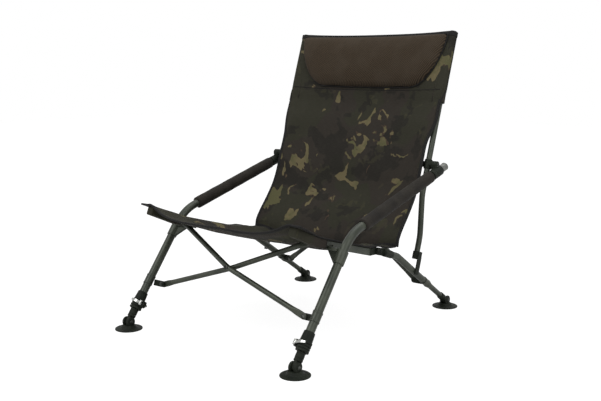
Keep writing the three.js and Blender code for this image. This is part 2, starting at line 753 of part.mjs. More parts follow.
// Slider ring: a boss outboard for the hub pivot and a lug inboard for the rear scissor
const sliderLug = plateXZ(
  tabOutline(rearPlane, braceTopPlane, slider.lugHalf),
  -rearLug.thickness / 2,
  rearLug.thickness / 2,
).translate(0, 0, rearScissorRise);
const sliderPinHole = rodY(
  boreRadius(brace.pinRadius + rearLug.play, smallSides),
  -rearLug.thickness,
  rearLug.thickness,
  braceTopPlane,
  rearScissorRise,
);
const scissorToBack = between(rearScissor, backFrame);
const backBore = boreRadius(backTube.outer + gap, turnedSides);
pair(backFrame, 'back_slider', cut(
  join(
    atX(rodZ(slider.radius, -slider.halfHeight, slider.halfHeight, turnedSides), rearPlane),
    rodX(slider.bossRadius, rearPlane, slider.bossOuter, 0, 0, turnedSides),
    moved(sliderLug, scissorToBack),
  ),
  moved(sliderPinHole, scissorToBack),
  atX(rodZ(backBore, -2 * slider.halfHeight, 2 * slider.halfHeight, turnedSides), rearPlane),
  rodX(boreRadius(hub.pinRadius + gap, smallSides), rearPlane, slider.bossOuter + overrun, 0, 0),
), plastic);

// Back tube with its two bends, and the moulded boot that pivots on the rear leg
const tubeFoot = step(strutPivot, strutPitch, boot.top + boot.bottom);
const backPath = sidePath(
  [tubeFoot, strutLowBend, strutTopBend, backTop],
  [strutLowBendRadius, strutBendRadius],
);
pair(side, 'back_tube', atX(sweep(ringShape(backTube), backPath), rearPlane), paint);

const bootEnd = boot.top + 3 * boot.bottom;
pair(strutFrame, 'back_tube_boot', cut(
  join(
    atX(rodZ(boot.radius, boot.top, bootEnd, turnedSides), rearPlane),
    block(
      new Vector3(rearPlane, -boot.cheekRadius + sink, boot.top),
      new Vector3(boot.cheekOuter, boot.cheekRadius - sink, bootEnd),
    ),
    plateYZ(tabOutline(0, boot.cheekRadius, boot.cheekRadius), boot.cheekInner, boot.cheekOuter)
      .translate(0, -boot.cheekRadius, 0),
    block(
      new Vector3(boot.cheekInner, -boot.cheekRadius, 0),
      new Vector3(boot.cheekOuter, boot.cheekRadius, boot.top + boot.bottom),
    ),
    rodX(boot.cheekRadius, boot.cheekInner, boot.cheekOuter, 0, 0, turnedSides),
    rodX(boot.pinRadius, boot.pinTip, boot.cheekInner + sink, 0, 0),
  ),
  atX(rodZ(backBore, boot.top + boot.bottom - gap, bootEnd + overrun, turnedSides), rearPlane),
), plastic);

// Rear leg, drilled for the strut pivot
const rearPath = sidePath(
  [step(rearAnkle, rearLegUp, rearLeg.tubeStart), knee, step(kneeHinge, hingeUp, -plug.end - gap)],
  [kneeRadius],
);
pair(side, 'rear_leg_tube', cut(
  atX(sweep(ringShape(rearTube), rearPath), rearPlane),
  rodX(boot.pinRadius + runningGap, rearPlane, boot.cheekOuter, strutPivot.x, strutPivot.y),
), paint);

// End plug of the rear leg, flattened to an eye at the seat rail
pair(hingeFrame, 'rear_leg_plug', cut(
  join(
    atX(rodZ(plug.radius, -plug.end, -plug.start, turnedSides), rearPlane),
    atX(rodZ(rearTube.bore - gap, -plug.end - plug.spigot, -plug.end + sink, tubeSides), rearPlane),
    rodX(plug.eyeRadius, plug.innerFace, rearPlane, 0, 0, turnedSides),
    block(
      new Vector3(plug.innerFace, -plug.eyeRadius + sink, -plug.start - sink),
      new Vector3(rearPlane, plug.eyeRadius - sink, 0),
    ),
    rodX(link.rivetRadius, rearPlane - sink, rearPlane + link.rivetHead, 0, 0),
  ),
  block(
    new Vector3(railPlane, -2 * plug.radius, -2 * plug.end),
    new Vector3(plug.innerFace, 2 * plug.radius, plug.end),
  ),
), plastic);

// Seat rail, drilled for the knuckle pin
const railPath = sidePath([railRearEnd, railFrontBend, railTip], [railBendRadius]);
const railShape = roundedBox(railSection.width / 2, railSection.height / 2, railSection.corner);
pair(side, 'seat_rail', cut(
  atX(sweep(railShape, railPath), railPlane),
  rodX(
    knucklePin + runningGap,
    railPlane - railSection.width,
    railPlane + railSection.width,
    railHinge.x,
    railHinge.y,
  ),
), paint);

// Link in the rear end of the rail, beside the plug of the rear leg
const hingeFromRail = kneeHinge.clone().sub(railHinge);
const hingeZ = hingeFromRail.x * Math.cos(railDown) + hingeFromRail.y * Math.sin(railDown);
const hingeY = hingeFromRail.x * Math.sin(railDown) - hingeFromRail.y * Math.cos(railDown);
const linkBlade = new THREE.Shape();
linkBlade.moveTo(-railSection.height / 2, railBehindHinge + gap);
linkBlade.lineTo(railSection.height / 2, railBehindHinge + gap);
linkBlade.lineTo(hingeY + link.eyeRadius - sink, hingeZ);
linkBlade.lineTo(hingeY - link.eyeRadius + sink, hingeZ);
linkBlade.closePath();
pair(railFrame, 'rail_hinge_link', join(
  block(
    new Vector3(railPlane - railSection.width / 2, -railSection.height / 2, gap),
    new Vector3(link.outerFace, railSection.height / 2, overrun),
  ).translate(0, 0, railBehindHinge),
  plateYZ(linkBlade, link.innerFace, link.outerFace),
  rodX(link.eyeRadius, link.innerFace, link.outerFace, hingeY, hingeZ, turnedSides),
  rodX(link.rivetRadius, link.innerFace - link.rivetHead, link.innerFace + sink, hingeY, hingeZ),
), plastic);

// Knuckle: a lug for the scissor's upper end and a cross pin that the rail turns on
const railInner = railPlane - railSection.width / 2 - gap;
const railOuter = railPlane + railSection.width / 2 + gap;
pair(knuckleFrame, 'rail_knuckle', cut(
  join(
    plateXZ(
      tabOutline(railInner - overrun, frontUpperPivotHalf, brace.tabHalf),
      -lugThickness / 2,
      lugThickness / 2,
    ),
    rodX(brace.tabHalf + sink, frontUpperPivotHalf + brace.tabHalf + sink, railInner, 0, 0, turnedSides),
    rodX(knucklePin, railInner - sink, railOuter + sink, 0, 0),
    rodX(link.rivetRadius + sink, railOuter, railOuter + link.rivetHead, 0, 0),
  ),
  rodY(brace.pinRadius + runningGap, -lugThickness, lugThickness, frontUpperPivotHalf, 0),
), plastic);

// A brace's flat end beside a lug. Its face is 1 behind the scissor plane, or -1 in front of it.
function braceEnd(pivot, towards, face, lugForm, pinned) {
  const away = new Vector2().subVectors(towards, pivot);
  const turn = Math.atan2(away.y, away.x);
  const centre = face * brace.offset;
  const tab = plateXZ(
    tabOutline(brace.tabLength, 0, brace.tabHalf),
    centre - brace.tabThickness / 2,
    centre + brace.tabThickness / 2,
  ).rotateY(-turn).translate(pivot.x, 0, pivot.y);
  const outer = centre + (face * brace.tabThickness) / 2;
  const far = -face * (lugForm.thickness / 2 + lugForm.headGap);
  const span = (from, to, radius) => rodY(radius, Math.min(from, to), Math.max(from, to), pivot.x, pivot.y);
  const pieces = [tab, span(outer - face * sink, outer + face * brace.head, brace.headRadius)];
  if (pinned) {
    pieces.push(span(centre, far - face * sink, brace.pinRadius));
    pieces.push(span(far, far - face * brace.head, brace.headRadius));
  }
  return join(...pieces);
}

// A brace from a low pivot on one side to a high pivot on the other, with the tube between the flat ends
function braceBody(low, high, face, middle, bow, lugForm, lowPinned) {
  const lowDirection = new Vector2().subVectors(middle, low).normalize();
  const highDirection = new Vector2().subVectors(middle, high).normalize();
  const inset = brace.tubeInset;
  const lowShare = inset / low.distanceTo(middle);
  const highShare = inset / high.distanceTo(middle);
  const start = low.clone().addScaledVector(lowDirection, inset);
  const finishAt = high.clone().addScaledVector(highDirection, inset);
  const centre = face * brace.offset;
  const corners = [
    new Vector3(start.x, centre - bow * lowShare, start.y),
    new Vector3(middle.x, centre - bow, middle.y),
    new Vector3(finishAt.x, centre - bow * highShare, finishAt.y),
  ];
  const tube = sweep(ringShape(braceTube, smallSides), new BentPath(corners, [crossingBendRadius]));
  return join(
    tube,
    braceEnd(low, middle, face, lugForm, lowPinned),
    braceEnd(high, middle, face, lugForm, true),
  );
}

const crossing = new Vector2(0, frontCrossing.rise);
const crossingHead = brace.offset + braceTube.outer + gap;
const crossingRivet = 2;
function frontBrace(direction, face) {
  return braceBody(
    new Vector2(-direction * frontLowerPivotHalf, 0),
    new Vector2(direction * frontUpperPivotHalf, frontScissorRise),
    face, crossing, frontCrossing.bow, frontLug, true,
  );
}
const frontRivet = join(
  rodY(brace.pinRadius, -crossingHead - sink, brace.offset, crossing.x, crossing.y),
  rodY(brace.headRadius, -crossingHead - brace.head, -crossingHead, crossing.x, crossing.y),
).translate(0, -frontCrossing.bow, 0);
const rivetHole = rodY(
  brace.pinRadius + runningGap, -2 * crossingHead, crossingHead, crossing.x, crossing.y,
).translate(0, -frontCrossing.bow, 0);
add(frontScissor, 'front_brace_a', join(frontBrace(1, 1), frontRivet), paint());
add(frontScissor, 'front_brace_b', cut(frontBrace(-1, -1), rivetHole), paint());
chair.add(frontScissor);

// Rear scissor: straight braces, each turning on its own slider
function rearBrace(direction, face) {
  const low = new Vector2(-direction * rearLowerPivot.half, 0);
  const high = new Vector2(direction * braceTopPlane, rearScissorRise);
  const middle = new Vector2(0, rearScissorRise / 2);
  const head = face * (brace.offset + braceTube.outer);
  const rivet = rodY(brace.headRadius, -crossingRivet, sink, middle.x, middle.y);
  return join(
    braceBody(low, high, face, middle, 0, rearLug, false),
    (face > 0 ? rivet : rivet.rotateZ(Math.PI)).translate(0, head, 0),
  );
}
add(rearScissor, 'rear_brace_a', rearBrace(-1, 1), paint());
add(rearScissor, 'rear_brace_b', rearBrace(1, -1), paint());
chair.add(rearScissor);

// Cloth. The side edge of the seat runs from the raised front corner to the free rear corner.
function edgeFrom(origin, places) {
  const points = places.map(([rearward, above]) => new Vector3(0, origin.x + rearward, origin.y + above));
  return new THREE.CatmullRomCurve3(points, false, 'centripetal');
}
const seatEdge = edgeFrom(railHinge, seatEdgePlaces);
const backEdge = edgeFrom(hubPivot, backEdgePlaces);

function smooth(value, from, to) {
  const share = THREE.MathUtils.clamp((value - from) / (to - from), 0, 1);
  return share * share * (3 - 2 * share);
}

// How deep the cloth hangs at a share of the way out from the middle, from 1 to 0
function hollowAt(spread) {
  return 1 - Math.min(1, spread) ** 2.4;
}

// The seat sags between its rails, most a little behind the middle
const seatRest = frontUpperPivotHalf - brace.tabHalf;
const hemColumns = 2;
function seatSurface(lift) {
  return (u, v) => {
    const place = seatEdge.getPoint(v);
    const tangent = seatEdge.getTangent(v);
    const frontHalf = THREE.MathUtils.lerp(seatFrontHalf, seatMidHalf, smooth(v, 0, 0.35));
    const half = THREE.MathUtils.lerp(frontHalf, seatRearHalf, smooth(v, 0.6, 1));
    const column = Math.round(u * seatColumns);
    const fromSide = Math.min(column, seatColumns - column);
    const sideSign = column < seatColumns / 2 ? -1 : 1;
    const hem = Math.max(0, hemColumns - fromSide) / hemColumns;
    const spread = 1 - Math.max(0, fromSide - hemColumns) / (seatColumns / 2 - hemColumns);
    const hollow = hollowAt(spread);
    const x = THREE.MathUtils.lerp(seatRest * spread, half, hem);
    const depth = THREE.MathUtils.lerp(seatSag, seatRearSag, smooth(v, 0.45, 1)) * hollow;
    const ripple = seatRipple * Math.sin(9 * v + 3 * spread) * hollow * (1 - smooth(v, 0.75, 1));
    const frontRise = (1 - smooth(v, 0, 0.3)) * seatFrontRise * hollow;
    const down = depth + ripple + frontRise - lift;
    return new Vector3(sideSign * x, place.y + down * tangent.z, place.z - down * tangent.y);
  };
}
add(chair, 'seat_panel', sheet(
  seatSurface(cloth.thickness / 2), seatSurface(-cloth.thickness / 2), seatColumns, seatRows,
), camoCloth());

// The back hangs free above the seat, and higher up its sides wrap the back tubes as pockets
const pocketRadius = backTube.outer + gap * 2 + cloth.thickness;
const backAlong = new Vector2(Math.cos(backUp), Math.sin(backUp));
const backNormal = new Vector2(Math.sin(backUp), -Math.cos(backUp));
const freeRows = 11;
const pocketRows = 8;
const backRows = freeRows + pocketRows;

function backRow(row) {
  if (row < freeRows) {
    const share = row / freeRows;
    const place = backEdge.getPoint(share);
    const tangent = backEdge.getTangent(share);
    return { place: new Vector2(place.y, place.z), along: new Vector2(tangent.y, tangent.z), reach: 0, share };
  }
  const share = (row - freeRows) / pocketRows;
  const reach = THREE.MathUtils.lerp(pocketFrom, backTopReach, share);
  const centre = step(hubPivot, backUp, reach);
  return { place: centre.addScaledVector(backNormal, -pocketRadius), along: backAlong, reach, share };
}

function backSurface(lift) {
  return (u, v) => {
    const row = Math.round(v * backRows);
    const column = Math.round(u * backColumns);
    const { place, along, reach, share } = backRow(row);
    const normal = new Vector2(along.y, -along.x);
    const sideSign = column < backColumns / 2 ? -1 : 1;
    const fromSide = Math.min(column, backColumns - column);
    const pocketed = row >= freeRows;
    const wrap = pocketWrap * smooth(row, freeRows - 1, freeRows + 4);
    if (pocketed && fromSide < wrapColumns) {
      const angle = (wrap * (wrapColumns - fromSide)) / wrapColumns;
      const radius = pocketRadius + lift;
      const out = rearPlane + radius * Math.sin(angle);
      const rearward = pocketRadius - radius * Math.cos(angle);
      return new Vector3(sideSign * out, place.x + rearward * normal.x, place.y + rearward * normal.y);
    }
    const hemmed = Math.max(0, wrapColumns - fromSide) * hemStep;
    const inner = pocketed ? rearPlane : backEdgeHalf - wrapColumns * hemStep;
    const flat = Math.max(0, fromSide - wrapColumns) / (backColumns / 2 - wrapColumns);
    const spread = 1 - flat;
    const pocketSag = THREE.MathUtils.lerp(backSag, backTopSag, share);
    const depthHere = pocketed ? pocketSag : backSag * smooth(share, 0, 0.6);
    const folds = pocketed ? 0 : backFold * Math.sin(16 * share + 2 * spread) * smooth(share, 0, 0.2);
    const hollow = hollowAt(spread);
    const rearward = (depthHere + folds) * hollow - lift;
    const droop = pocketed ? backTopDroop * hollow * smooth(share, 0.6, 1) : 0;
    const x = inner * spread + hemmed;
    const drop = pocketed ? 0 : seatRearSag * hollowAt(x / seatRest) * (1 - smooth(share, 0, 0.5));
    return new Vector3(
      sideSign * x,
      place.x + rearward * normal.x - droop * along.x,
      place.y + rearward * normal.y - droop * along.y - drop,
    );
  };
}
add(chair, 'back_panel', sheet(
  backSurface(cloth.thickness / 2), backSurface(-cloth.thickness / 2), backColumns, backRows,
), camoCloth());

// Headrest: a D-shaped pillow with a crowned front and drawn-in edges
function pillowSurface(crowned) {
  return (u, v) => {
    const spread = 2 * u - 1;
    const drop = 1 - v;
    const half = THREE.MathUtils.lerp(
      pillow.topHalf,
      pillow.bottomHalf,
      drop ** 2.6,
    );
    const x = half * spread;
    const reach = pillow.top - pillow.height * drop - backTopDroop * (1 - spread * spread) * (1 - drop);
    const hollow = hollowAt(Math.abs(x) / rearPlane);
    const share = THREE.MathUtils.clamp((reach - pocketFrom) / (backTopReach - pocketFrom), 0, 1);
    const sag = THREE.MathUtils.lerp(backSag, backTopSag, share) * hollow;
    const back = -pocketRadius - cloth.thickness / 2 - pillow.standOff + sag;
    const roundAcross = (1 - Math.abs(spread) ** 6) ** 0.5;
    const roundUp = (1 - Math.abs(2 * v - 1) ** 4) ** 0.5;
    const pinch = 1 - 0.1 * Math.exp(-(((v - 0.52) / 0.05) ** 2));
    const forward = crowned ? pillow.edge + pillow.crown * roundAcross * roundUp * pinch : 0;
    const centre = step(hubPivot, backUp, reach);
    const out = back - forward;
    return new Vector3(x, centre.x + out * backNormal.x, centre.y + out * backNormal.y);
  };
}
add(chair, 'headrest_pillow', sheet(
  pillowSurface(true), pillowSurface(false), pillowColumns, pillowRows,
), meshCloth());

// The row frame has the middle of the box at the origin and the floor at zero
chair.updateMatrixWorld(true);
const box = new THREE.Box3().setFromObject(chair);
const middle = box.getCenter(new Vector3());
chair.position.set(-middle.x, -middle.y, -box.min.z);

export default chair;
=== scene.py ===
"""Low folding fishing chair: detailed pieces, finishes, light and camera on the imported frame."""
import json
import math

import bmesh
import bpy
import numpy as np
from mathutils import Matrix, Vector, noise


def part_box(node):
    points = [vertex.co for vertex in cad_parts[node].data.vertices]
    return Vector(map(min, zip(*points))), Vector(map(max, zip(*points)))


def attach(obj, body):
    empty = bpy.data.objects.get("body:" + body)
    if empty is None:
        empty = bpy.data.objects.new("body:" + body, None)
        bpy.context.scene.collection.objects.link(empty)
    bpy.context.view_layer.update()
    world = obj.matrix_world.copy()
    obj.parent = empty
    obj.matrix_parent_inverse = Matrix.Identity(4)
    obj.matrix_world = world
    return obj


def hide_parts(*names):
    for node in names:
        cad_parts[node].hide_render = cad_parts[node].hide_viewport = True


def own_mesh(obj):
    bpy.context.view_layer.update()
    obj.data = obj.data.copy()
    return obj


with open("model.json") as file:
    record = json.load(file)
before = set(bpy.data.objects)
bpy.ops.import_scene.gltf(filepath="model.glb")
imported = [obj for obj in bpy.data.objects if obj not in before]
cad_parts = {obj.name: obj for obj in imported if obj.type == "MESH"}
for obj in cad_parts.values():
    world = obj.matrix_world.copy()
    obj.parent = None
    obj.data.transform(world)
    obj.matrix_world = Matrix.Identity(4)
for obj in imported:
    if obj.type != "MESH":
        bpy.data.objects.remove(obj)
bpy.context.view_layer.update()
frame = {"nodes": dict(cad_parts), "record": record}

MM = 0.001
RECORD = frame["record"]
BODY_OF = {node: body for body, nodes in RECORD["behaviour"]["bodies"].items() for node in nodes}
radians = math.radians

# Side view sizes, in millimetres: y runs to the rear and z up
FRONT_ANKLE = np.array([-256.0, 20.0])
REAR_ANKLE = np.array([470.0, 20.0])
FRONT_LEG_UP = radians(90 - 37.54)
FRONT_LEG_TO_ELBOW = 346.8
ELBOW_RADIUS = 125.0
ARM_PITCH = radians(15.6)
ARM_LENGTH = 461.0
BARE_FROM = 433.0
HUB_ALONG = 422.0
HUB_ABOVE = 20.0
REAR_LEG_UP = radians(180 - 33.4)
REAR_LEG_TO_KNEE = 317.4
KNEE_RADIUS = 40.0
KNEE_TO_HINGE = 81.0
HINGE_UP = radians(180 - 18.2)
BACK_UP = radians(90 - 18.7)
BACK_REACH = 379.0
STRUT_UPPER = 87.0
STRUT_UPPER_LENGTH = 113.0
STRUT_UPPER_LEAN = radians(3.5)
STRUT_PIVOT_ON_LEG = 215.6
RAIL_HINGE = np.array([-113.0, 280.0])
RAIL_DOWN = -radians(15.3)
RAIL_BEHIND = 217.0
RAIL_AHEAD = 8.0
RAIL_NOSE_PITCH = radians(180 - 23)
RAIL_NOSE = 96.0

# Half widths: the planes of the side frames, and the pivots of the crossed braces
ARM_PLANE = 287.0
REAR_PLANE = 260.5
RAIL_PLANE = 241.5
BRACE_TOP = 224.0
FRONT_LOW_HALF = 248.0
FRONT_HIGH_HALF = 215.0

# Tube radii, the gap round a tube's fitting, and the turn between two rings of a bend
ARM_TUBE = 11.0
FRONT_INNER = 9.5
REAR_TUBE = 9.3
REAR_INNER = 7.7
BACK_TUBE = 8.0
BRACE_TUBE = 6.8
GAP = 0.3
BEND_STEP = radians(3)

# Where tubes start and end, measured along them from a foot pin, a pivot or the hinge, and how they bend
ARM_TUBE_FROM, STRUT_FROM, REAR_TUBE_FROM = 46.0, 41.0, 115.0
HINGE_PLUG = 50.0
BACK_BENDS = [120.0, 100.0]
FRONT_INNER_ENDS, REAR_INNER_ENDS = (38.1, 205.0), (36.3, 212.0)

# Seat rail, which is a flattened tube
RAIL_HALF_WIDTH, RAIL_HALF_HEIGHT = 8.0, 9.5
RAIL_CORNER = 2.8
RAIL_BEND_RADIUS = 120.0

# Crossed braces, pressed flat at their ends, with the bands of their brackets and their rivets
FRONT_PIVOT_ALONG, FRONT_PIVOT_ASIDE = 126.0, 13.0
REAR_PIVOT_ALONG = 138.0
BRACE_FACE = 7.3
BRACE_END_HALF, BRACE_END_DEPTH = 8.2, 2.5
BRACE_END_REACH = 8.15
BRACE_ROUNDS = (16.0, 42.0)
BRACE_BEND_RADIUS = 140.0
BAND_WALL, BAND_HALF = 1.3, 13.5
BRACE_BOW = 22.0
FRONT_CROSSING_UP = 77.7
RIVET_RADIUS, RIVET_PIN = 5.6, 3.0
HEAD_OUTSIDE, FRONT_HEAD_INSIDE, REAR_HEAD_INSIDE = 9.6, 4.9, 4.5
CROSSING_HEAD, CROSSING_TAIL = 13.6, 14.4

# Arm sleeve and the front leg's clamp
GRIP_FROM, GRIP_TO = 52.0, 384.0
GRIP_BORE, GRIP_OUTSIDE = 11.35, 16.4
BOLT_OUT, BOLT_UP, LEVER_OUT = 20.8, 55.0, 11.5
CLAMP_SLOT = 0.085
LEVER_RADIUS, LEVER_FLICK, LEVER_SWEEP = 18.4, 1.6, radians(88)

# Fold settings given with the soft pieces, an anchor and a share to keep; only whether one is given is used
SEAT_FOLD = {"anchor": (-RAIL_PLANE * MM, 0.0, 0.0), "keep": 0.25}
POCKET_INNER = 237.0
BACK_FOLD = {"anchor": (-POCKET_INNER * MM, 0.0, 0.0), "keep": 0.2485}


def node_middle(node):
    low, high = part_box(node)
    return (Vector(low) + Vector(high)) / 2


SHIFT_Y = node_middle("left_front_foot_pin").y / MM - FRONT_ANKLE[0]


# Places and paths
def smooth(value, low, high):
    share = min(1.0, max(0.0, (value - low) / (high - low)))
    return share * share * (3 - 2 * share)


def mixed(a, b, share):
    return a + (b - a) * share


def step(place, pitch, distance):
    return place + distance * np.array([math.cos(pitch), math.sin(pitch)])


def side_frame(place, pitch, x=0.0):
    """Local X is across the chair and local Z runs along a pitch in the side view."""
    cos, sin = math.cos(pitch), math.sin(pitch)
    matrix = np.eye(4)
    matrix[:3, 1] = (0, sin, -cos)
    matrix[:3, 2] = (0, cos, sin)
    matrix[:3, 3] = (x, place[0], place[1])
    return matrix


def shifted(matrix, x=0.0, y=0.0, z=0.0):
    move = np.eye(4)
    move[:3, 3] = (x, y, z)
    return matrix @ move


def turned_to(matrix, axis):
    """The same place with local Z turned to its X or Y axis."""
    turn = np.eye(4)
    if axis == "x":
        turn[:3, :3] = [[0, 0, 1], [1, 0, 0], [0, 1, 0]]
    else:
        turn[:3, :3] = [[0, 1, 0], [0, 0, 1], [1, 0, 0]]
    return matrix @ turn


def put(matrix, points):
    points = np.asarray(points, float)
    return points @ matrix[:3, :3].T + matrix[:3, 3]


def unit(vector):
    return vector / np.linalg.norm(vector)


def bent(corners, radii, run_step=12.0):
    """Points along straight runs with round bends, one radius for each corner in between."""
    corners = [np.asarray(c, float) for c in corners]
    points = [corners[0]]
    for index in range(1, len(corners) - 1):
        corner = corners[index]
        before, after = unit(corner - corners[index - 1]), unit(corners[index + 1] - corner)
        turn = math.acos(np.clip(before @ after, -1, 1))
        back = radii[index - 1] * math.tan(turn / 2)
        start = corner - before * back
        points.extend(run(points[-1], start, run_step))
        centre = corner + unit(after - before) * radii[index - 1] / math.cos(turn / 2)
        axis = unit(np.cross(before, after))
        spoke = start - centre
        count = max(3, math.ceil(turn / BEND_STEP))
        for share in range(1, count + 1):
            angle = turn * share / count
            turned = spoke * math.cos(angle) + np.cross(axis, spoke) * math.sin(angle)
            points.append(centre + turned)
    points.extend(run(points[-1], corners[-1], run_step))
    return np.array(points)


def run(start, end, run_step):
    length = np.linalg.norm(end - start)
    count = max(1, math.ceil(length / run_step))
    return [start + (end - start) * share / count for share in range(1, count + 1)]


def side_points(places, plane):
    return [np.array([plane, place[0], place[1]]) for place in places]


def lengths_along(points):
    return np.concatenate([[0], np.cumsum(np.linalg.norm(np.diff(points, axis=0), axis=1))])


def circle(radius, count):
    angle = np.linspace(0, 2 * math.pi, count, endpoint=False)
    return np.stack([radius * np.cos(angle), radius * np.sin(angle)], axis=1)


def oblong(half_width, half_height):
    return [(-half_width, -half_height), (half_width, -half_height), (half_width, half_height),
            (-half_width, half_height)]


def rounded(points, radius, count=4):
    """A closed outline or profile whose corners are rounded."""
    points = [np.asarray(p, float) for p in points]
    out = []
    for index, point in enumerate(points):
        before, after = points[index - 1], points[(index + 1) % len(points)]
        limit = 0.45 * min(np.linalg.norm(before - point), np.linalg.norm(after - point))
        amount = min(radius, limit)
        if amount < 0.02:
            out.append(point)
            continue
        start, end = point + unit(before - point) * amount, point + unit(after - point) * amount
        for share in np.linspace(0, 1, count):
            out.append((1 - share) ** 2 * start + 2 * share * (1 - share) * point + share ** 2 * end)
    return np.array(out)


def stadium(base, end, half, count):
    """An outline with straight sides from a base to a round end, along its first coordinate."""
    direction = math.copysign(1, end - base)
    angle = np.linspace(-math.pi / 2, math.pi / 2, count) * direction
    arc = [(end + half * direction * abs(math.cos(a)), half * math.sin(a)) for a in angle]
    return np.array([(base, arc[0][1]), *arc, (base, arc[-1][1])])


def swept_rings(points, section, side=(1, 0, 0)):
    """The rings of a section, or of one section for each point. Its first coordinate runs to the side."""
    sections = section if np.ndim(section) == 3 else np.repeat(section[None], len(points), axis=0)
    side = np.asarray(side, float)
    rings = []
    for point, tangent, outline in zip(points, np.gradient(points, axis=0), sections):
        tangent = unit(tangent)
        across = unit(side - (side @ tangent) * tangent)
        up = np.cross(tangent, across)
        rings.append(point + outline[:, :1] * across + outline[:, 1:] * up)
    return rings


# Shapes
class Shell:
    """The points of one piece in millimetres, and its faces with their map in metres and their finish."""

    def __init__(self):
        self.points, self.faces, self.maps, self.finishes = [], [], [], []

    def grid(self, grid, around=False, maps=None, finish=0):
        rows, columns = grid.shape[:2]
        base = len(self.points)
        self.points.extend(map(tuple, grid.reshape(-1, 3)))
        if maps is None:
            line = grid[rows // 2]
            across = lengths_along(np.vstack([line, line[:1]]) if around else line)
            up = lengths_along(grid[:, 0])
            maps = np.stack(np.meshgrid(across, up), axis=2) * MM
        for row in range(rows - 1):
            for column in range(columns if around else columns - 1):
                after = (column + 1) % columns
                self.faces.append((
                    base + row * columns + column, base + row * columns + after,
                    base + (row + 1) * columns + after, base + (row + 1) * columns + column,
                ))
                self.maps.append((
                    maps[row, column], maps[row, column + 1],
                    maps[row + 1, column + 1], maps[row + 1, column],
                ))
                self.finishes.append(finish)
        return base

    def cap(self, indices, finish):
        self.faces.append(tuple(indices))
        points = np.array([self.points[i] for i in indices])
        flat = points - points.mean(axis=0)
        axes = np.linalg.svd(flat, full_matrices=False)[2][:2]
        self.maps.append([row * MM for row in flat @ axes.T])
        self.finishes.append(finish)

    def rings(self, rings, finish=0, closed=True):
        """Rings of points joined in order, with both ends filled if they are closed."""
        grid = np.array(rings)
        base = self.grid(grid, around=True, finish=finish)
        if closed:
            count = grid.shape[1]
            self.cap([base + i for i in range(count)][::-1], finish)
            last = base + (grid.shape[0] - 1) * count
            self.cap([last + i for i in range(count)], finish)

    def tube(self, points, section, side=(1, 0, 0), round_end=0.8):
        """A section, or one for each point, swept along points with its first coordinate to the side."""
        points = np.asarray(points, float)
        tangents = np.gradient(points, axis=0)
        rings = swept_rings(points, section, side)
        if round_end:
            rings = self.round_ends(rings, points, tangents, round_end)
        self.rings(rings)

    def cord(self, points, radius, sides, loop=False):
        """A round cord through points in space, carried without twist."""
        points = np.asarray(points, float)
        ahead = np.roll(points, -1, axis=0) - np.roll(points, 1, axis=0)
        if not loop:
            ahead[0], ahead[-1] = points[1] - points[0], points[-1] - points[-2]
        reference = unit(np.cross(ahead[0], (0.31, 0.2, 0.93)))
        rings = []
        outline = circle(radius, sides)
        for point, tangent in zip(points, ahead):
            tangent = unit(tangent)
            reference = unit(reference - (reference @ tangent) * tangent)
            up = np.cross(tangent, reference)
            rings.append(point + outline[:, :1] * reference + outline[:, 1:] * up)
        if loop:
            rings.append(rings[0])
        self.rings(rings, closed=not loop)

    @staticmethod
    def round_ends(rings, points, tangents, amount):
        first, last = rings[0], rings[-1]
        out = []
        for centre, ring, tangent, ahead in ((points[0], first, unit(tangents[0]), 1),
                                             (points[-1], last, unit(tangents[-1]), -1)):
            size = np.linalg.norm(ring - centre, axis=1).max()
            made = []
            for angle in (90, 60, 30):
                inset = amount * (1 - math.cos(radians(angle)))
                forward = amount * (1 - math.sin(radians(angle)))
                made.append(centre + (ring - centre) * (1 - inset / size) + ahead * tangent * forward)
            out.append(made)
        return [*out[0], *rings[1:-1], *out[1][::-1]]

    def lathe(self, profile, matrix, segments=40, sweep=None, finish=0):
        """A closed profile of radius and height, turned about local Z, or only between two angles."""
        profile = np.asarray(profile, float)
        start, end = sweep or (0, 2 * math.pi)
        angles = np.linspace(start, end, segments + (1 if sweep else 0), endpoint=bool(sweep))
        rings = [put(matrix, np.stack([
            profile[:, 0] * math.cos(a), profile[:, 0] * math.sin(a), profile[:, 1],
        ], axis=1)) for a in angles]
        if not sweep:
            rings.append(rings[0])
        self.rings(rings, finish, closed=bool(sweep))

    def turned(self, profile, matrix, segments=40, finish=0):
        """A profile from the axis out and back to the axis, turned about local Z."""
        profile = np.asarray(profile, float)
        angles = np.linspace(0, 2 * math.pi, segments, endpoint=False)
        rows = [put(matrix, np.stack([r * np.cos(angles), r * np.sin(angles), np.full(segments, h)], axis=1))
                for r, h in profile]
        self.grid(np.array(rows), around=True, finish=finish)

    def plate(self, outline, matrix, low, high, edge, plane="yz"):
        """An outline with thickness and rounded edges. Its plane is given by two local axes."""
        outline = np.asarray(outline, float)
        before, after = np.roll(outline, 1, axis=0), np.roll(outline, -1, axis=0)
        along = after - before
        normal = np.stack([along[:, 1], -along[:, 0]], axis=1)
        normal /= np.maximum(np.linalg.norm(normal, axis=1, keepdims=True), 1e-9)
        area = np.sum(outline[:, 0] * after[:, 1] - after[:, 0] * outline[:, 1])
        normal *= math.copysign(1, area)
        rings = []
        for angle, at in ((90, low), (45, low), (0, low), (0, high), (45, high), (90, high)):
            inset = edge * (1 - math.cos(radians(angle)))
            depth = edge * (1 - math.sin(radians(angle)))
            flat = outline - normal * inset
            level = at + depth if at == low else at - depth
            level = np.full(len(flat), level)
            order = {"yz": (level, flat[:, 0], flat[:, 1]), "xz": (flat[:, 0], level, flat[:, 1]),
                     "xy": (flat[:, 0], flat[:, 1], level)}[plane]
            rings.append(put(matrix, np.stack(order, axis=1)))
        self.rings(rings)

    def join(self, other):
        base = len(self.points)
        self.points.extend(other.points)
        self.faces.extend(tuple(base + i for i in face) for face in other.faces)
        self.maps.extend(other.maps)
        self.finishes.extend(other.finishes)

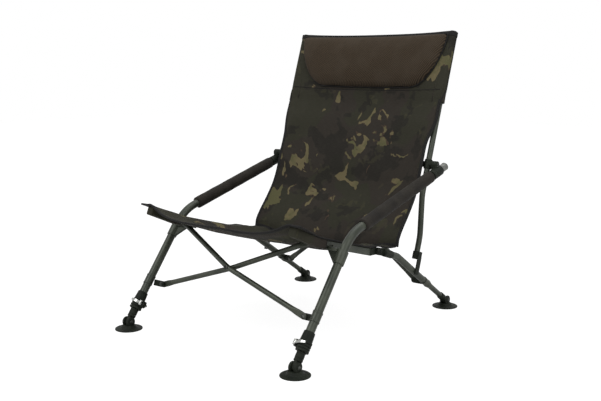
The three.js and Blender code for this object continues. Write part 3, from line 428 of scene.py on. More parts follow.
    def mirrored(self):
        other = Shell()
        other.points = [(-x, y, z) for x, y, z in self.points]
        other.faces = [tuple(reversed(face)) for face in self.faces]
        other.maps = [list(reversed(row)) for row in self.maps]
        other.finishes = list(self.finishes)
        return other


SHARP_ANGLE = radians(38)
PAD_SHARP_ANGLE = radians(60)
POLISHED_ANGLE = radians(46)
BEVEL_ANGLE = radians(40)
FLAT_ANGLE = radians(4)
SAME_PLACE = 2e-6


def placed(name, data):
    """A new object with this data, linked into the scene."""
    item = bpy.data.objects.new(name, data)
    bpy.context.scene.collection.objects.link(item)
    return item


def make(name, shell, materials, angle=SHARP_ANGLE):
    """One object from a shell, moved from the side view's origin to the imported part's."""
    mesh = bpy.data.meshes.new(name)
    points = np.array(shell.points)
    points[:, 1] += SHIFT_Y
    mesh.from_pydata((points * MM).tolist(), [], shell.faces)
    layer = mesh.uv_layers.new(name="map")
    flat = np.array([corner for face in shell.maps for corner in face], dtype=np.float32)
    layer.data.foreach_set("uv", flat.ravel())
    mesh.polygons.foreach_set("material_index", shell.finishes)
    work = bmesh.new()
    work.from_mesh(mesh)
    bmesh.ops.remove_doubles(work, verts=work.verts, dist=SAME_PLACE)
    bmesh.ops.recalc_face_normals(work, faces=work.faces)
    work.to_mesh(mesh)
    work.free()
    for material in materials:
        mesh.materials.append(material)
    mesh.shade_smooth()
    mesh.set_sharp_from_angle(angle=angle)
    return placed(name, mesh)


def stand_for(piece, node):
    """The piece moves with a node's body and takes its place."""
    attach(piece, BODY_OF[node])
    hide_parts(node)
    return piece


def dress(node, shell, *materials):
    return stand_for(make(f"{node}_detailed", shell, materials), node)


def dress_pair(kind, shell, *materials):
    dress(f"left_{kind}", shell, *materials)
    dress(f"right_{kind}", shell.mirrored(), *materials)


def polish(node, material, edge):
    """A node's own form from the CAD, with rounded edges and smooth curves."""
    work = bmesh.new()
    work.from_mesh(frame["nodes"][node].data)
    bmesh.ops.remove_doubles(work, verts=work.verts, dist=2 * SAME_PLACE)
    bmesh.ops.dissolve_limit(
        work, angle_limit=FLAT_ANGLE, verts=work.verts, edges=work.edges, use_dissolve_boundaries=False,
    )
    sharp = [e for e in work.edges if len(e.link_faces) == 2 and e.calc_face_angle(0) > BEVEL_ANGLE]
    bmesh.ops.bevel(
        work, geom=sharp, offset=edge * MM, offset_type="OFFSET", segments=2, profile=0.6,
        affect="EDGES", clamp_overlap=True,
    )
    mesh = bpy.data.meshes.new(f"{node}_detailed")
    work.to_mesh(mesh)
    work.free()
    mesh.materials.append(material)
    mesh.shade_smooth()
    mesh.set_sharp_from_angle(angle=POLISHED_ANGLE)
    stand_for(placed(f"{node}_detailed", mesh), node)


# Finishes
class Recipe:
    """A material and short ways to add its nodes."""

    def __init__(self, name, **sockets):
        self.material = bpy.data.materials.new(name)
        self.material.use_nodes = True
        self.tree = self.material.node_tree
        self.shader = self.tree.nodes["Principled BSDF"]
        for socket, value in sockets.items():
            self.shader.inputs[socket.replace("_", " ")].default_value = value

    def add(self, kind, **settings):
        node = self.tree.nodes.new(kind)
        for name, value in settings.items():
            setattr(node, name, value)
        return node

    def feed(self, socket, value):
        if isinstance(value, bpy.types.NodeSocket):
            self.tree.links.new(value, socket)
        else:
            socket.default_value = value

    def place(self, kind="Object"):
        return self.add("ShaderNodeTexCoord").outputs[kind]

    def stretched(self, vector, scale, turn=0.0):
        node = self.add("ShaderNodeMapping")
        self.feed(node.inputs["Vector"], vector)
        node.inputs["Scale"].default_value = scale
        node.inputs["Rotation"].default_value = (0, 0, turn)
        return node.outputs["Vector"]

    def noise(self, vector, scale, detail=2.0, roughness=0.5, distortion=0.0, output="Fac"):
        node = self.add("ShaderNodeTexNoise")
        self.feed(node.inputs["Vector"], vector)
        for name, value in (("Scale", scale), ("Detail", detail), ("Roughness", roughness),
                            ("Distortion", distortion)):
            node.inputs[name].default_value = value
        return node.outputs[output]

    def cells(self, vector, scale):
        node = self.add("ShaderNodeTexVoronoi", feature="F1")
        self.feed(node.inputs["Vector"], vector)
        node.inputs["Scale"].default_value = scale
        return node.outputs["Distance"]

    def drifted(self, vector, drift, amount):
        """A vector moved by another one times an amount."""
        offset = self.add("ShaderNodeVectorMath", operation="SCALE")
        self.feed(offset.inputs[0], drift)
        offset.inputs["Scale"].default_value = amount
        moved = self.add("ShaderNodeVectorMath", operation="ADD")
        self.feed(moved.inputs[0], vector)
        self.feed(moved.inputs[1], offset.outputs[0])
        return moved.outputs[0]

    def wave(self, vector, scale, direction):
        node = self.add("ShaderNodeTexWave", bands_direction=direction)
        self.feed(node.inputs["Vector"], vector)
        node.inputs["Scale"].default_value = scale
        return node.outputs["Fac"]

    def maths(self, operation, first, second):
        node = self.add("ShaderNodeMath", operation=operation)
        self.feed(node.inputs[0], first)
        self.feed(node.inputs[1], second)
        return node.outputs[0]

    def between(self, value, low, high, out_low=0.0, out_high=1.0):
        node = self.add("ShaderNodeMapRange", interpolation_type="SMOOTHSTEP")
        for name, given in (("Value", value), ("From Min", low), ("From Max", high),
                            ("To Min", out_low), ("To Max", out_high)):
            self.feed(node.inputs[name], given)
        return node.outputs["Result"]

    def mix(self, factor, first, second):
        node = self.add("ShaderNodeMix", data_type="RGBA", blend_type="MIX")
        self.feed(node.inputs[0], factor)
        for index, value in ((6, first), (7, second)):
            if isinstance(value, bpy.types.NodeSocket):
                self.feed(node.inputs[index], value)
            else:
                node.inputs[index].default_value = (*value, 1)
        return node.outputs[2]

    def shade(self, value, low, high, first, second, most=1.0):
        """The first colour where a value is low, and where it is high the second one at most by a share."""
        return self.mix(self.between(value, low, high, 0.0, most), first, second)

    def bump(self, height, distance, strength, under=None):
        node = self.add("ShaderNodeBump")
        self.feed(node.inputs["Height"], height)
        node.inputs["Distance"].default_value = distance
        node.inputs["Strength"].default_value = strength
        if under is not None:
            self.feed(node.inputs["Normal"], under)
        return node.outputs["Normal"]

    def finish(self, color, roughness, normal=None):
        for name, value in (("Base Color", color), ("Roughness", roughness), ("Normal", normal)):
            if value is not None:
                self.feed(self.shader.inputs[name], value)
        return self.material


PAINT_DARK = (0.024, 0.029, 0.021)
PAINT_LIGHT = (0.050, 0.056, 0.041)
PAINT_WORN = (0.12, 0.13, 0.11)
BARE_DARK = (0.10, 0.105, 0.095)
BARE_LIGHT = (0.19, 0.195, 0.18)
MOULD_DARK = (0.006, 0.008, 0.0055)
MOULD_LIGHT = (0.013, 0.016, 0.011)
MOULD_WORN = (0.045, 0.048, 0.038)
FOAM_DARK = (0.011, 0.0095, 0.008)
FOAM_LIGHT = (0.025, 0.022, 0.018)
STEEL_LIGHT = (0.42, 0.43, 0.41)
STEEL_DULL = (0.22, 0.22, 0.21)
CLOTH_BASE = (0.0245, 0.0205, 0.0165)
CLOTH_GREEN = (0.0235, 0.0230, 0.0150)
CLOTH_BLACK = (0.0125, 0.0115, 0.0095)
CLOTH_BROWN = (0.050, 0.034, 0.023)
CLOTH_TAN = (0.128, 0.106, 0.055)
CLOTH_OLIVE = (0.082, 0.078, 0.036)
MESH_BROWN = (0.056, 0.039, 0.024)
MESH_DARK = (0.016, 0.012, 0.008)
TAPE_DARK = (0.008, 0.008, 0.008)
TAPE_LIGHT = (0.020, 0.019, 0.018)
MESH_LIGHT = (0.062, 0.050, 0.038)
CLOTH_SLUB = (0.06, 0.055, 0.045)
CLOTH_FADED = (0.07, 0.065, 0.055)
# Painted shade for the foam's pores and the mesh's holes
PORE_SHADE = (0.008, 0.007, 0.006)
THREAD_LIGHT = (0.060, 0.054, 0.042)
FLOOR_DARK = (0.86, 0.86, 0.86)
FLOOR_LIGHT = (0.90, 0.90, 0.90)
EVEN = (1, 1, 1)
MESH_SLANT = radians(38)
CLOTH_PITCH, MESH_RIB_PITCH, TAPE_RIB_PITCH = 0.0011, 0.0046, 0.0016


def painted_tube():
    recipe = Recipe("painted_tube", Metallic=0.3, Specular_IOR_Level=0.35)
    place = recipe.place()
    cloud = recipe.noise(place, 18, 4)
    grain = recipe.noise(place, 1400, 2)
    scratch = recipe.noise(recipe.stretched(place, (60, 60, 900), 0.5), 1.0, 5, 0.65)
    worn = recipe.between(scratch, 0.66, 0.74, 0.0, 0.55)
    color = recipe.shade(cloud, 0.3, 0.7, PAINT_DARK, PAINT_LIGHT)
    color = recipe.mix(worn, color, PAINT_WORN)
    rough = recipe.between(cloud, 0.2, 0.8, 0.34, 0.46)
    rough = recipe.maths("ADD", rough, recipe.maths("MULTIPLY", worn, -0.08))
    return recipe.finish(color, rough, recipe.bump(grain, 0.00006, 0.6))


def moulded_plastic():
    recipe = Recipe("moulded_plastic", Specular_IOR_Level=0.12)
    place = recipe.place()
    cloud = recipe.noise(place, 30, 4)
    pebble = recipe.cells(place, 1500)
    pointed = recipe.add("ShaderNodeNewGeometry").outputs["Pointiness"]
    rub = recipe.noise(place, 260, 4, 0.7)
    edge = recipe.maths("MULTIPLY", recipe.between(pointed, 0.53, 0.60), recipe.between(rub, 0.45, 0.6))
    color = recipe.shade(cloud, 0.3, 0.7, MOULD_DARK, MOULD_LIGHT)
    color = recipe.mix(recipe.maths("MULTIPLY", edge, 0.5), color, MOULD_WORN)
    rough = recipe.between(cloud, 0.2, 0.8, 0.5, 0.66)
    return recipe.finish(color, rough, recipe.bump(pebble, 0.00012, 0.5))


def bright_steel():
    recipe = Recipe("bright_steel", Metallic=1.0)
    place = recipe.place()
    smear = recipe.noise(place, 90, 4, 0.6)
    brushed = recipe.noise(recipe.stretched(place, (200, 200, 4000)), 1.0, 3)
    color = recipe.shade(smear, 0.4, 0.7, STEEL_LIGHT, STEEL_DULL)
    rough = recipe.between(smear, 0.3, 0.75, 0.16, 0.36)
    return recipe.finish(color, rough, recipe.bump(brushed, 0.00003, 0.4))


def dark_steel():
    recipe = Recipe("dark_steel", Metallic=0.7, Specular_IOR_Level=0.4)
    place = recipe.place()
    smear = recipe.noise(place, 120, 4, 0.6)
    scuffed = recipe.noise(place, 700, 3, 0.7)
    color = recipe.shade(smear, 0.4, 0.7, MOULD_DARK, BARE_DARK)
    color = recipe.shade(scuffed, 0.58, 0.66, color, BARE_LIGHT, 0.5)
    rough = recipe.between(smear, 0.3, 0.75, 0.34, 0.5)
    return recipe.finish(color, rough, recipe.bump(scuffed, 0.00005, 0.4))


def bare_tube():
    recipe = Recipe("bare_tube", Metallic=0.6, Specular_IOR_Level=0.4)
    place = recipe.place()
    smear = recipe.noise(place, 80, 4, 0.6)
    drawn = recipe.noise(recipe.stretched(place, (90, 1600, 1600)), 1.0, 3)
    color = recipe.shade(smear, 0.35, 0.7, BARE_LIGHT, BARE_DARK)
    return recipe.finish(color, recipe.between(drawn, 0.3, 0.7, 0.34, 0.5), recipe.bump(drawn, 0.00005, 0.5))


def foam_sleeve():
    recipe = Recipe("foam_sleeve", Specular_IOR_Level=0.16, Sheen_Weight=0.02, Sheen_Roughness=0.4)
    place = recipe.place()
    cloud = recipe.noise(place, 22, 5, 0.6)
    pores = recipe.cells(place, 900)
    soft = recipe.noise(place, 160, 4, 0.6)
    color = recipe.shade(cloud, 0.3, 0.72, FOAM_DARK, FOAM_LIGHT)
    # Painted shade: the pores are coloured darker, as shade in the hollows
    color = recipe.mix(recipe.between(pores, 0.0, 0.35, 0.5, 0.0), color, PORE_SHADE)
    normal = recipe.bump(pores, 0.0005, 0.5, recipe.bump(soft, 0.0006, 0.4))
    return recipe.finish(color, recipe.between(cloud, 0.2, 0.8, 0.74, 0.92), normal)


def waves(pitch):
    """The scale of a wave texture whose ribs are a pitch in metres apart."""
    return 1 / pitch / 3.1416


def woven(recipe, place, pitch):
    """Over and under threads of a plain weave, as a height."""
    across = recipe.wave(place, waves(pitch), "X")
    along = recipe.wave(place, waves(pitch), "Y")
    return recipe.maths("MAXIMUM", recipe.maths("MULTIPLY", across, 0.9), along)


def camouflage_cloth():
    recipe = Recipe("camouflage_cloth", Specular_IOR_Level=0.12, Sheen_Weight=0.015, Sheen_Roughness=0.4)
    place = recipe.place("UV")
    warped = recipe.drifted(place, recipe.noise(place, 13, 3, 0.6, output="Color"), 0.045)
    patches = recipe.noise(warped, 6, 2, 0.5)
    shadows = recipe.noise(recipe.stretched(warped, EVEN, 0.8), 9, 3, 0.6)
    color = recipe.shade(patches, 0.50, 0.53, CLOTH_BASE, CLOTH_GREEN)
    color = recipe.shade(shadows, 0.54, 0.57, color, CLOTH_BLACK, 0.8)
    soil = recipe.noise(recipe.stretched(warped, EVEN, 2.1), 14, 3, 0.65)
    color = recipe.shade(soil, 0.61, 0.64, color, CLOTH_OLIVE, 0.16)
    leaf = recipe.noise(recipe.stretched(warped, (1, 0.85, 1), 1.2), 16, 2.2, 0.5, 1.0)
    cluster = recipe.noise(place, 4.2, 1)
    island = recipe.maths("ADD", leaf, recipe.maths("MULTIPLY", recipe.maths("SUBTRACT", cluster, 0.5), 0.35))
    color = recipe.shade(island, 0.618, 0.623, color, CLOTH_BROWN)
    tan = recipe.shade(soil, 0.40, 0.60, CLOTH_TAN, CLOTH_OLIVE)
    color = recipe.shade(island, 0.628, 0.633, color, tan)
    weave = woven(recipe, place, CLOTH_PITCH)
    slub = recipe.noise(recipe.stretched(place, (80, 900, 1)), 1.0, 3)
    fade = recipe.noise(place, 25, 4)
    color = recipe.shade(slub, 0.35, 0.75, color, CLOTH_SLUB, 0.16)
    color = recipe.shade(fade, 0.35, 0.75, color, CLOTH_FADED, 0.10)
    crease = recipe.noise(recipe.stretched(place, (1, 0.6, 1)), 55, 4, 0.55)
    normal = recipe.bump(weave, 0.00018, 0.7, recipe.bump(crease, 0.0012, 0.35))
    return recipe.finish(color, recipe.between(fade, 0.2, 0.8, 0.78, 0.92), normal)


def mesh_cloth():
    recipe = Recipe("mesh_cloth", Specular_IOR_Level=0.12, Sheen_Weight=0.02, Sheen_Roughness=0.4)
    place = recipe.place("UV")
    slanted = recipe.stretched(place, EVEN, MESH_SLANT)
    wobbling = recipe.drifted(slanted, recipe.noise(place, 40, 2, output="Color"), 0.006)
    ribs = recipe.wave(wobbling, waves(MESH_RIB_PITCH), "X")
    holes = recipe.cells(recipe.stretched(place, (1, 1.5, 1), MESH_SLANT), 560)
    cloud = recipe.noise(place, 16, 4)
    color = recipe.shade(ribs, 0.25, 0.75, MESH_DARK, MESH_BROWN)
    # Painted shade: the holes of the mesh are coloured darker, as shade seen through them
    color = recipe.mix(recipe.between(holes, 0.0, 0.4, 0.65, 0.0), color, PORE_SHADE)
    color = recipe.shade(cloud, 0.35, 0.75, color, MESH_LIGHT, 0.35)
    normal = recipe.bump(holes, 0.0004, 0.6, recipe.bump(ribs, 0.0005, 0.6))
    return recipe.finish(color, recipe.between(cloud, 0.2, 0.8, 0.8, 0.95), normal)


def edge_tape():
    recipe = Recipe("edge_tape", Specular_IOR_Level=0.14)
    place = recipe.place("UV")
    ribs = recipe.wave(recipe.stretched(place, EVEN, 0.12), waves(TAPE_RIB_PITCH), "Y")
    fluff = recipe.noise(recipe.place(), 320, 4, 0.6)
    color = recipe.shade(fluff, 0.3, 0.75, TAPE_DARK, TAPE_LIGHT)
    normal = recipe.bump(ribs, 0.0003, 0.7)
    return recipe.finish(color, recipe.between(fluff, 0.2, 0.8, 0.7, 0.9), normal)


def sewing_thread():
    recipe = Recipe("light_thread", Specular_IOR_Level=0.2)
    twist = recipe.noise(recipe.place(), 900, 3)
    color = recipe.mix(twist, CLOTH_BASE, THREAD_LIGHT)
    return recipe.finish(color, recipe.between(twist, 0.2, 0.8, 0.5, 0.7))


PAINT = painted_tube()
PLASTIC = moulded_plastic()
STEEL = bright_steel()
RIVET = dark_steel()
BARE = bare_tube()
FOAM = foam_sleeve()
CAMO = camouflage_cloth()
MESH = mesh_cloth()
TAPE = edge_tape()
THREAD = sewing_thread()

# Places of the frame, from the sizes above
ELBOW = step(FRONT_ANKLE, FRONT_LEG_UP, FRONT_LEG_TO_ELBOW)
ARM_END = step(ELBOW, ARM_PITCH, ARM_LENGTH)
HUB = step(step(ELBOW, ARM_PITCH, HUB_ALONG), ARM_PITCH + math.pi / 2, HUB_ABOVE)
KNEE = step(REAR_ANKLE, REAR_LEG_UP, REAR_LEG_TO_KNEE)
HINGE = step(KNEE, HINGE_UP, KNEE_TO_HINGE)
STRUT_PIVOT = step(REAR_ANKLE, REAR_LEG_UP, STRUT_PIVOT_ON_LEG)
BACK_TOP = step(HUB, BACK_UP, BACK_REACH)
STRUT_TOP = step(HUB, BACK_UP, -STRUT_UPPER)
STRUT_LOW = step(STRUT_TOP, math.pi / 2 - STRUT_UPPER_LEAN, -STRUT_UPPER_LENGTH)
LOW_PIVOT = step(FRONT_ANKLE, FRONT_LEG_UP, FRONT_PIVOT_ALONG)
LOW_PIVOT = step(LOW_PIVOT, FRONT_LEG_UP - math.pi / 2, FRONT_PIVOT_ASIDE)
REAR_BRACKET = step(REAR_ANKLE, REAR_LEG_UP, REAR_PIVOT_ALONG)
RAIL_REAR = step(RAIL_HINGE, RAIL_DOWN, RAIL_BEHIND)
RAIL_BEND = step(RAIL_HINGE, RAIL_DOWN + math.pi, RAIL_AHEAD)
RAIL_TIP = step(RAIL_BEND, RAIL_NOSE_PITCH, RAIL_NOSE)
RAIL_PLACES = [RAIL_REAR, RAIL_BEND, RAIL_TIP]
STRUT_PITCH = math.atan2(STRUT_LOW[1] - STRUT_PIVOT[1], STRUT_LOW[0] - STRUT_PIVOT[0])

FRONT_SCISSOR_UP = math.atan2(RAIL_HINGE[1] - LOW_PIVOT[1], RAIL_HINGE[0] - LOW_PIVOT[0])
FRONT_SCISSOR = side_frame(LOW_PIVOT, FRONT_SCISSOR_UP)
FRONT_RISE = float(np.linalg.norm(RAIL_HINGE - LOW_PIVOT))
REAR_SCISSOR_UP = math.atan2(HUB[1] - REAR_BRACKET[1], HUB[0] - REAR_BRACKET[0])
REAR_SCISSOR = side_frame(REAR_BRACKET, REAR_SCISSOR_UP)
REAR_RISE = float(np.linalg.norm(HUB - REAR_BRACKET))

FRONT_LEG = side_frame(FRONT_ANKLE, FRONT_LEG_UP)
ARM = side_frame(ELBOW, ARM_PITCH)
REAR_LEG = side_frame(REAR_ANKLE, REAR_LEG_UP)
BACK = side_frame(HUB, BACK_UP)


# Tubes
def pipe(places, plane, bends, section, round_end=0.8):
    """A bent tube through places of the side view."""
    shell = Shell()
    shell.tube(bent(side_points(places, plane), bends), section, round_end=round_end)
    return shell


def make_tubes():
    start = step(FRONT_ANKLE, FRONT_LEG_UP, ARM_TUBE_FROM)
    arm = pipe([start, ELBOW, ARM_END], ARM_PLANE, [ELBOW_RADIUS], circle(ARM_TUBE, 36))
    along = (np.array(arm.points) - ARM[:3, 3]) @ ARM[:3, 2]
    arm.finishes = [int(min(along[i] for i in face) > BARE_FROM) for face in arm.faces]
    dress_pair("leg_arm_tube", arm, PAINT, BARE)

    places = [step(STRUT_PIVOT, STRUT_PITCH, STRUT_FROM), STRUT_LOW, STRUT_TOP, BACK_TOP]
    dress_pair("back_tube", pipe(places, REAR_PLANE, BACK_BENDS, circle(BACK_TUBE, 30)), PAINT)

    places = [step(REAR_ANKLE, REAR_LEG_UP, REAR_TUBE_FROM), KNEE, step(HINGE, HINGE_UP, -HINGE_PLUG - GAP)]
    dress_pair("rear_leg_tube", pipe(places, REAR_PLANE, [KNEE_RADIUS], circle(REAR_TUBE, 32)), PAINT)

    section = rounded(oblong(RAIL_HALF_WIDTH, RAIL_HALF_HEIGHT), RAIL_CORNER, 6)
    dress_pair("seat_rail", pipe(RAIL_PLACES, RAIL_PLANE, [RAIL_BEND_RADIUS], section, 1.2), PAINT)

    for kind, matrix, plane, radius, ends in (
        ("front", FRONT_LEG, ARM_PLANE, FRONT_INNER, FRONT_INNER_ENDS),
        ("rear", REAR_LEG, REAR_PLANE, REAR_INNER, REAR_INNER_ENDS),
    ):
        inner = Shell()
        inner.tube(put(matrix, [(plane, 0, height) for height in np.linspace(*ends, 24)]), circle(radius, 30))
        dress_pair(f"{kind}_inner_leg", inner, PAINT)


def brace_path(low, high, middle, face, bow, matrix):
    """Centre line of a brace in its own plane, from pivot to pivot, with the crimped ends past each pivot."""
    centre = face * BRACE_FACE
    corners = [np.array([low[0], centre, low[1]]), np.array([middle[0], centre - bow, middle[1]]),
               np.array([high[0], centre, high[1]])]
    if bow:
        path = bent(corners, [BRACE_BEND_RADIUS], run_step=3.0)
    else:
        path = np.array([corners[0], *run(corners[0], corners[2], 3.0)])
    flat_first = unit(unit(path[1] - path[0]) * (1, 0, 1))
    flat_last = unit(unit(path[-1] - path[-2]) * (1, 0, 1))
    past = (2.4, 4.4, 6.0, 7.2, 7.9, BRACE_END_REACH)
    lead = [path[0] - flat_first * d for d in past[::-1]]
    tail = [path[-1] + flat_last * d for d in past]
    return put(matrix, np.array([*lead, *path, *tail]))


def brace_sections(points):
    """Round in the middle, pressed flat and half round at both ends."""
    angle = np.linspace(0, 2 * math.pi, 32, endpoint=False)
    cos, sin = np.cos(angle), np.sin(angle)
    along = lengths_along(points)
    sections = []
    for reached in along:
        inward = min(reached, along[-1] - reached) - BRACE_END_REACH
        blend = smooth(inward, *BRACE_ROUNDS)
        half_width = mixed(BRACE_END_HALF, BRACE_TUBE, blend)
        half_depth = mixed(BRACE_END_DEPTH, BRACE_TUBE, blend)
        if inward < 0:
            half_width = math.sqrt(max(BRACE_END_HALF ** 2 - inward ** 2, 0.35))
            half_depth = BRACE_END_DEPTH - 0.5 * (inward / BRACE_END_HALF) ** 4
        power = 0.42 + 0.58 * blend
        wide = np.sign(cos) * np.abs(cos) ** power * half_width
        deep = np.sign(sin) * np.abs(sin) ** power * half_depth
        sections.append(np.stack([deep, wide], axis=1))
    return np.array(sections)


def pinned(shell, place, low, high):
    """The shaft of a rivet, between two heights along local Z."""
    shell.turned([(0, high), (RIVET_PIN, high), (RIVET_PIN, low), (0, low)], place, 20, 1)


def rivet(shell, matrix, radius, base, head, direction, finish=0):
    """A domed head whose base lies at a height along local Z."""
    profile = [(0, base - 0.5 * direction), (radius, base - 0.5 * direction),
               (radius, base + 0.35 * head * direction)]
    for angle in np.linspace(25, 90, 6):
        profile.append((radius * math.cos(radians(angle)),
                        base + direction * head * (0.35 + 0.65 * math.sin(radians(angle)))))
    profile[-1] = (0, profile[-1][1])
    shell.turned(profile, matrix, 24, finish)


def brace(scissor, low, high, middle, face, bow):
    """The tube of a brace, and the places of its rivets: low pivot, high pivot and crossing."""
    points = brace_path(low, high, middle, face, bow, scissor)
    shell = Shell()
    shell.tube(points, brace_sections(points), side=tuple(scissor[:3, 1]), round_end=0)
    rivets = [turned_to(shifted(scissor, x, y, z), "y")
              for x, y, z in ((low[0], 0, low[1]), (high[0], 0, high[1]), (0, -bow, middle[1]))]
    return shell, rivets


def make_braces():
    for name, direction, face in (("front_brace_a", 1, 1), ("front_brace_b", -1, -1)):
        low, high = (-direction * FRONT_LOW_HALF, 0.0), (direction * FRONT_HIGH_HALF, FRONT_RISE)
        shell, rivets = brace(FRONT_SCISSOR, low, high, (0.0, FRONT_CROSSING_UP), face, BRACE_BOW)
        for place in rivets[:2]:
            rivet(shell, place, RIVET_RADIUS, face * HEAD_OUTSIDE, 2.0, face, 1)
            rivet(shell, place, RIVET_RADIUS, -face * FRONT_HEAD_INSIDE, 1.9, -face, 1)
            pinned(shell, place, -face * 5.2, face * 9.0)
        if face == 1:
            rivet(shell, rivets[2], RIVET_RADIUS, -CROSSING_TAIL, 1.8, -1, 1)
            rivet(shell, rivets[2], RIVET_RADIUS, CROSSING_HEAD, 1.8, 1, 1)
            pinned(shell, rivets[2], -14.6, 13)
        dress(name, shell, PAINT, RIVET)

    for name, direction, face in (("rear_brace_a", -1, 1), ("rear_brace_b", 1, -1)):
        low, high = (-direction * BRACE_TOP, 0.0), (direction * BRACE_TOP, REAR_RISE)
        shell, rivets = brace(REAR_SCISSOR, low, high, (0.0, REAR_RISE / 2), face, 0.0)
        for place in rivets[:2]:
            rivet(shell, place, RIVET_RADIUS, face * HEAD_OUTSIDE, 1.8, face, 1)
        rivet(shell, rivets[1], RIVET_RADIUS, -face * REAR_HEAD_INSIDE, 1.7, -face, 1)
        pinned(shell, rivets[1], -face * 4.7, face * 9.0)
        rivet(shell, rivets[2], RIVET_RADIUS, face * CROSSING_HEAD, 1.4, face, 1)
        dress(name, shell, PAINT, RIVET)


# Arm
END_CAP = [
    (0, 449.0), (9.4, 449.0), (9.4, 461.2), (11.3, 461.3), (11.4, 461.8), (11.4, 462.6), (11.0, 463.4),
    (9.8, 464.0), (7.6, 464.2), (7.2, 463.8), (6.6, 463.8), (6.2, 464.2), (0, 464.2),
]
HUB_SLEEVE = [
    (11.3, 388), (14.4, 388), (14.4, 398), (13.8, 399), (13.8, 402), (14.4, 403), (14.4, 434), (11.3, 434),
]
HUB_FACES = (274.2, 291.0)
HUB_PIN = [(0, 275), (4, 275), (4, 270.6), (3.4, 270.0), (0, 270.0)]


def make_arm():
    grip = Shell()
    profile = []
    for height in np.linspace(GRIP_FROM, GRIP_TO, 120):
        ends = min(height - GRIP_FROM, GRIP_TO - height)
        radius = GRIP_OUTSIDE - 3.2 * max(0.0, 1 - ends / 3.6) ** 2.2 + 0.12 * math.sin(height * 0.11)
        profile.append((radius, height))
    profile = [(GRIP_BORE, GRIP_TO), (GRIP_BORE, GRIP_FROM), *profile]
    grip.lathe(profile, shifted(ARM, ARM_PLANE), 48)
    for index, (x, y, z) in enumerate(grip.points):
        amount = 0.35 * noise.noise(Vector((x, y, z)) * 0.035)
        grip.points[index] = (x, y, z + amount)
    dress_pair("arm_grip", grip, FOAM)

    cap = Shell()
    cap.turned(END_CAP, shifted(ARM, ARM_PLANE))
    dress_pair("arm_end_cap", cap, BARE)

    hub = Shell()
    hub.lathe(rounded(HUB_SLEEVE, 0.9), shifted(ARM, ARM_PLANE), 44)
    place = shifted(ARM, z=HUB_ALONG)
    hub.plate(stadium(2.0, -HUB_ABOVE, 10.0, 20), place, *HUB_FACES, 1.2)
    pivot = turned_to(shifted(place, y=-HUB_ABOVE), "x")
    hub.turned(HUB_PIN, pivot, 24)
    rivet(hub, pivot, 6.0, HUB_FACES[1], 1.4, 1, 1)
    dress_pair("arm_hub", hub, PLASTIC, RIVET)


# Legs and feet
CLAMP_BOTTOM = [(9.8, 38.6), (16.0, 38.6), (16.5, 39.2)]
CLAMP_RIBS = (42.6, 49.2, 55.8)
CLAMP_RIB = [(16.5, 0.2), (16.3, 0.7), (14.9, 1.3), (14.9, 2.5), (16.3, 3.1), (16.5, 3.6)]
CLAMP_NECK = [
    (16.4, 63.2), (15.4, 64.6), (15.1, 66.0), (14.3, 78.0), (13.8, 86.6), (13.2, 87.8), (11.4, 88.0),
    (11.4, 45.1), (9.8, 45.1),
]
CLAMP_EAR = [(-25.5, 46), (-11.5, 46), (-11.5, 64), (-25.5, 64)]
BOLT_SHAFT = [(0, -11.4), (2.5, -11.4), (2.5, 14.2), (2.0, 14.7), (0, 14.7)]
BOLT_WASHER = [(0, 7.25), (5.6, 7.25), (5.6, 7.9), (0, 7.9)]
NUT_CORNER, NUT_FACES = 4.9, (7.5, 11.2)
LEVER_PIN = [(0, -6.6), (2.0, -6.6), (2.0, 6.6), (0, 6.6)]
LEVER_EYES = ((48.5, 52.1), (57.9, 61.5))
LEVER_HALF_WIDTH, LEVER_HALF_THICKNESS = 4.0, 1.1


def make_clamp():
    place = shifted(FRONT_LEG, ARM_PLANE)
    clamp = Shell()
    ribs = [(radius, height + up) for height in CLAMP_RIBS for radius, up in CLAMP_RIB]
    profile = [*CLAMP_BOTTOM, *ribs, *CLAMP_NECK]
    clamp.lathe(profile, place, 56, sweep=(math.pi + CLAMP_SLOT, 3 * math.pi - CLAMP_SLOT))
    for side in (-1, 1):
        low, high = sorted((side * 1.2, side * 7.2))
        clamp.plate(rounded(CLAMP_EAR, 3.0, 5), place, low, high, 1.0, "xz")
    dress_pair("front_clamp", clamp, PLASTIC)

    bolt = Shell()
    axis = turned_to(shifted(place, -BOLT_OUT, 0, BOLT_UP), "y")
    bolt.turned(BOLT_SHAFT, axis, 20)
    bolt.plate(rounded(circle(NUT_CORNER, 6), 0.5, 3), axis, *NUT_FACES, 0.5, "xy")
    bolt.turned(BOLT_WASHER, axis, 28)
    bolt.turned(LEVER_PIN, shifted(place, -BOLT_OUT, -LEVER_OUT, BOLT_UP), 20)
    dress_pair("front_clamp_bolt", bolt, STEEL)

    lever = Shell()
    start = math.pi + math.atan2(LEVER_OUT, BOLT_OUT) + radians(9)
    path = [(-23.6, -12.4), (-BOLT_OUT, -13.9), (-17.6, -13.4)]
    for share in np.linspace(0, 1, 28):
        radius = LEVER_RADIUS + LEVER_FLICK * max(0.0, share - 0.82) / 0.18
        angle = start + LEVER_SWEEP * share
        path.append((radius * math.cos(angle), radius * math.sin(angle)))
    rise = np.interp(np.linspace(0, 1, len(path)), (0, 0.25, 1), (BOLT_UP, 56.0, 59.0))
    points = put(place, [(x, y, z) for (x, y), z in zip(path, rise)])
    section = rounded(oblong(LEVER_HALF_WIDTH, LEVER_HALF_THICKNESS), 0.8)
    tapered = []
    for index in range(len(points)):
        share = index / (len(points) - 1)
        narrow = 1 - 0.30 * max(0.0, share - 0.55) / 0.45
        tapered.append(section * (narrow, 1))
    lever.tube(points, np.array(tapered), side=tuple(place[:3, 2]), round_end=0.9)
    for low, high in LEVER_EYES:
        profile = rounded([(2.3, low), (3.6, low), (3.6, high), (2.3, high)], 0.4, 3)
        lever.lathe(profile, shifted(place, -BOLT_OUT, -LEVER_OUT), 24)
    dress_pair("front_clamp_lever", lever, STEEL)


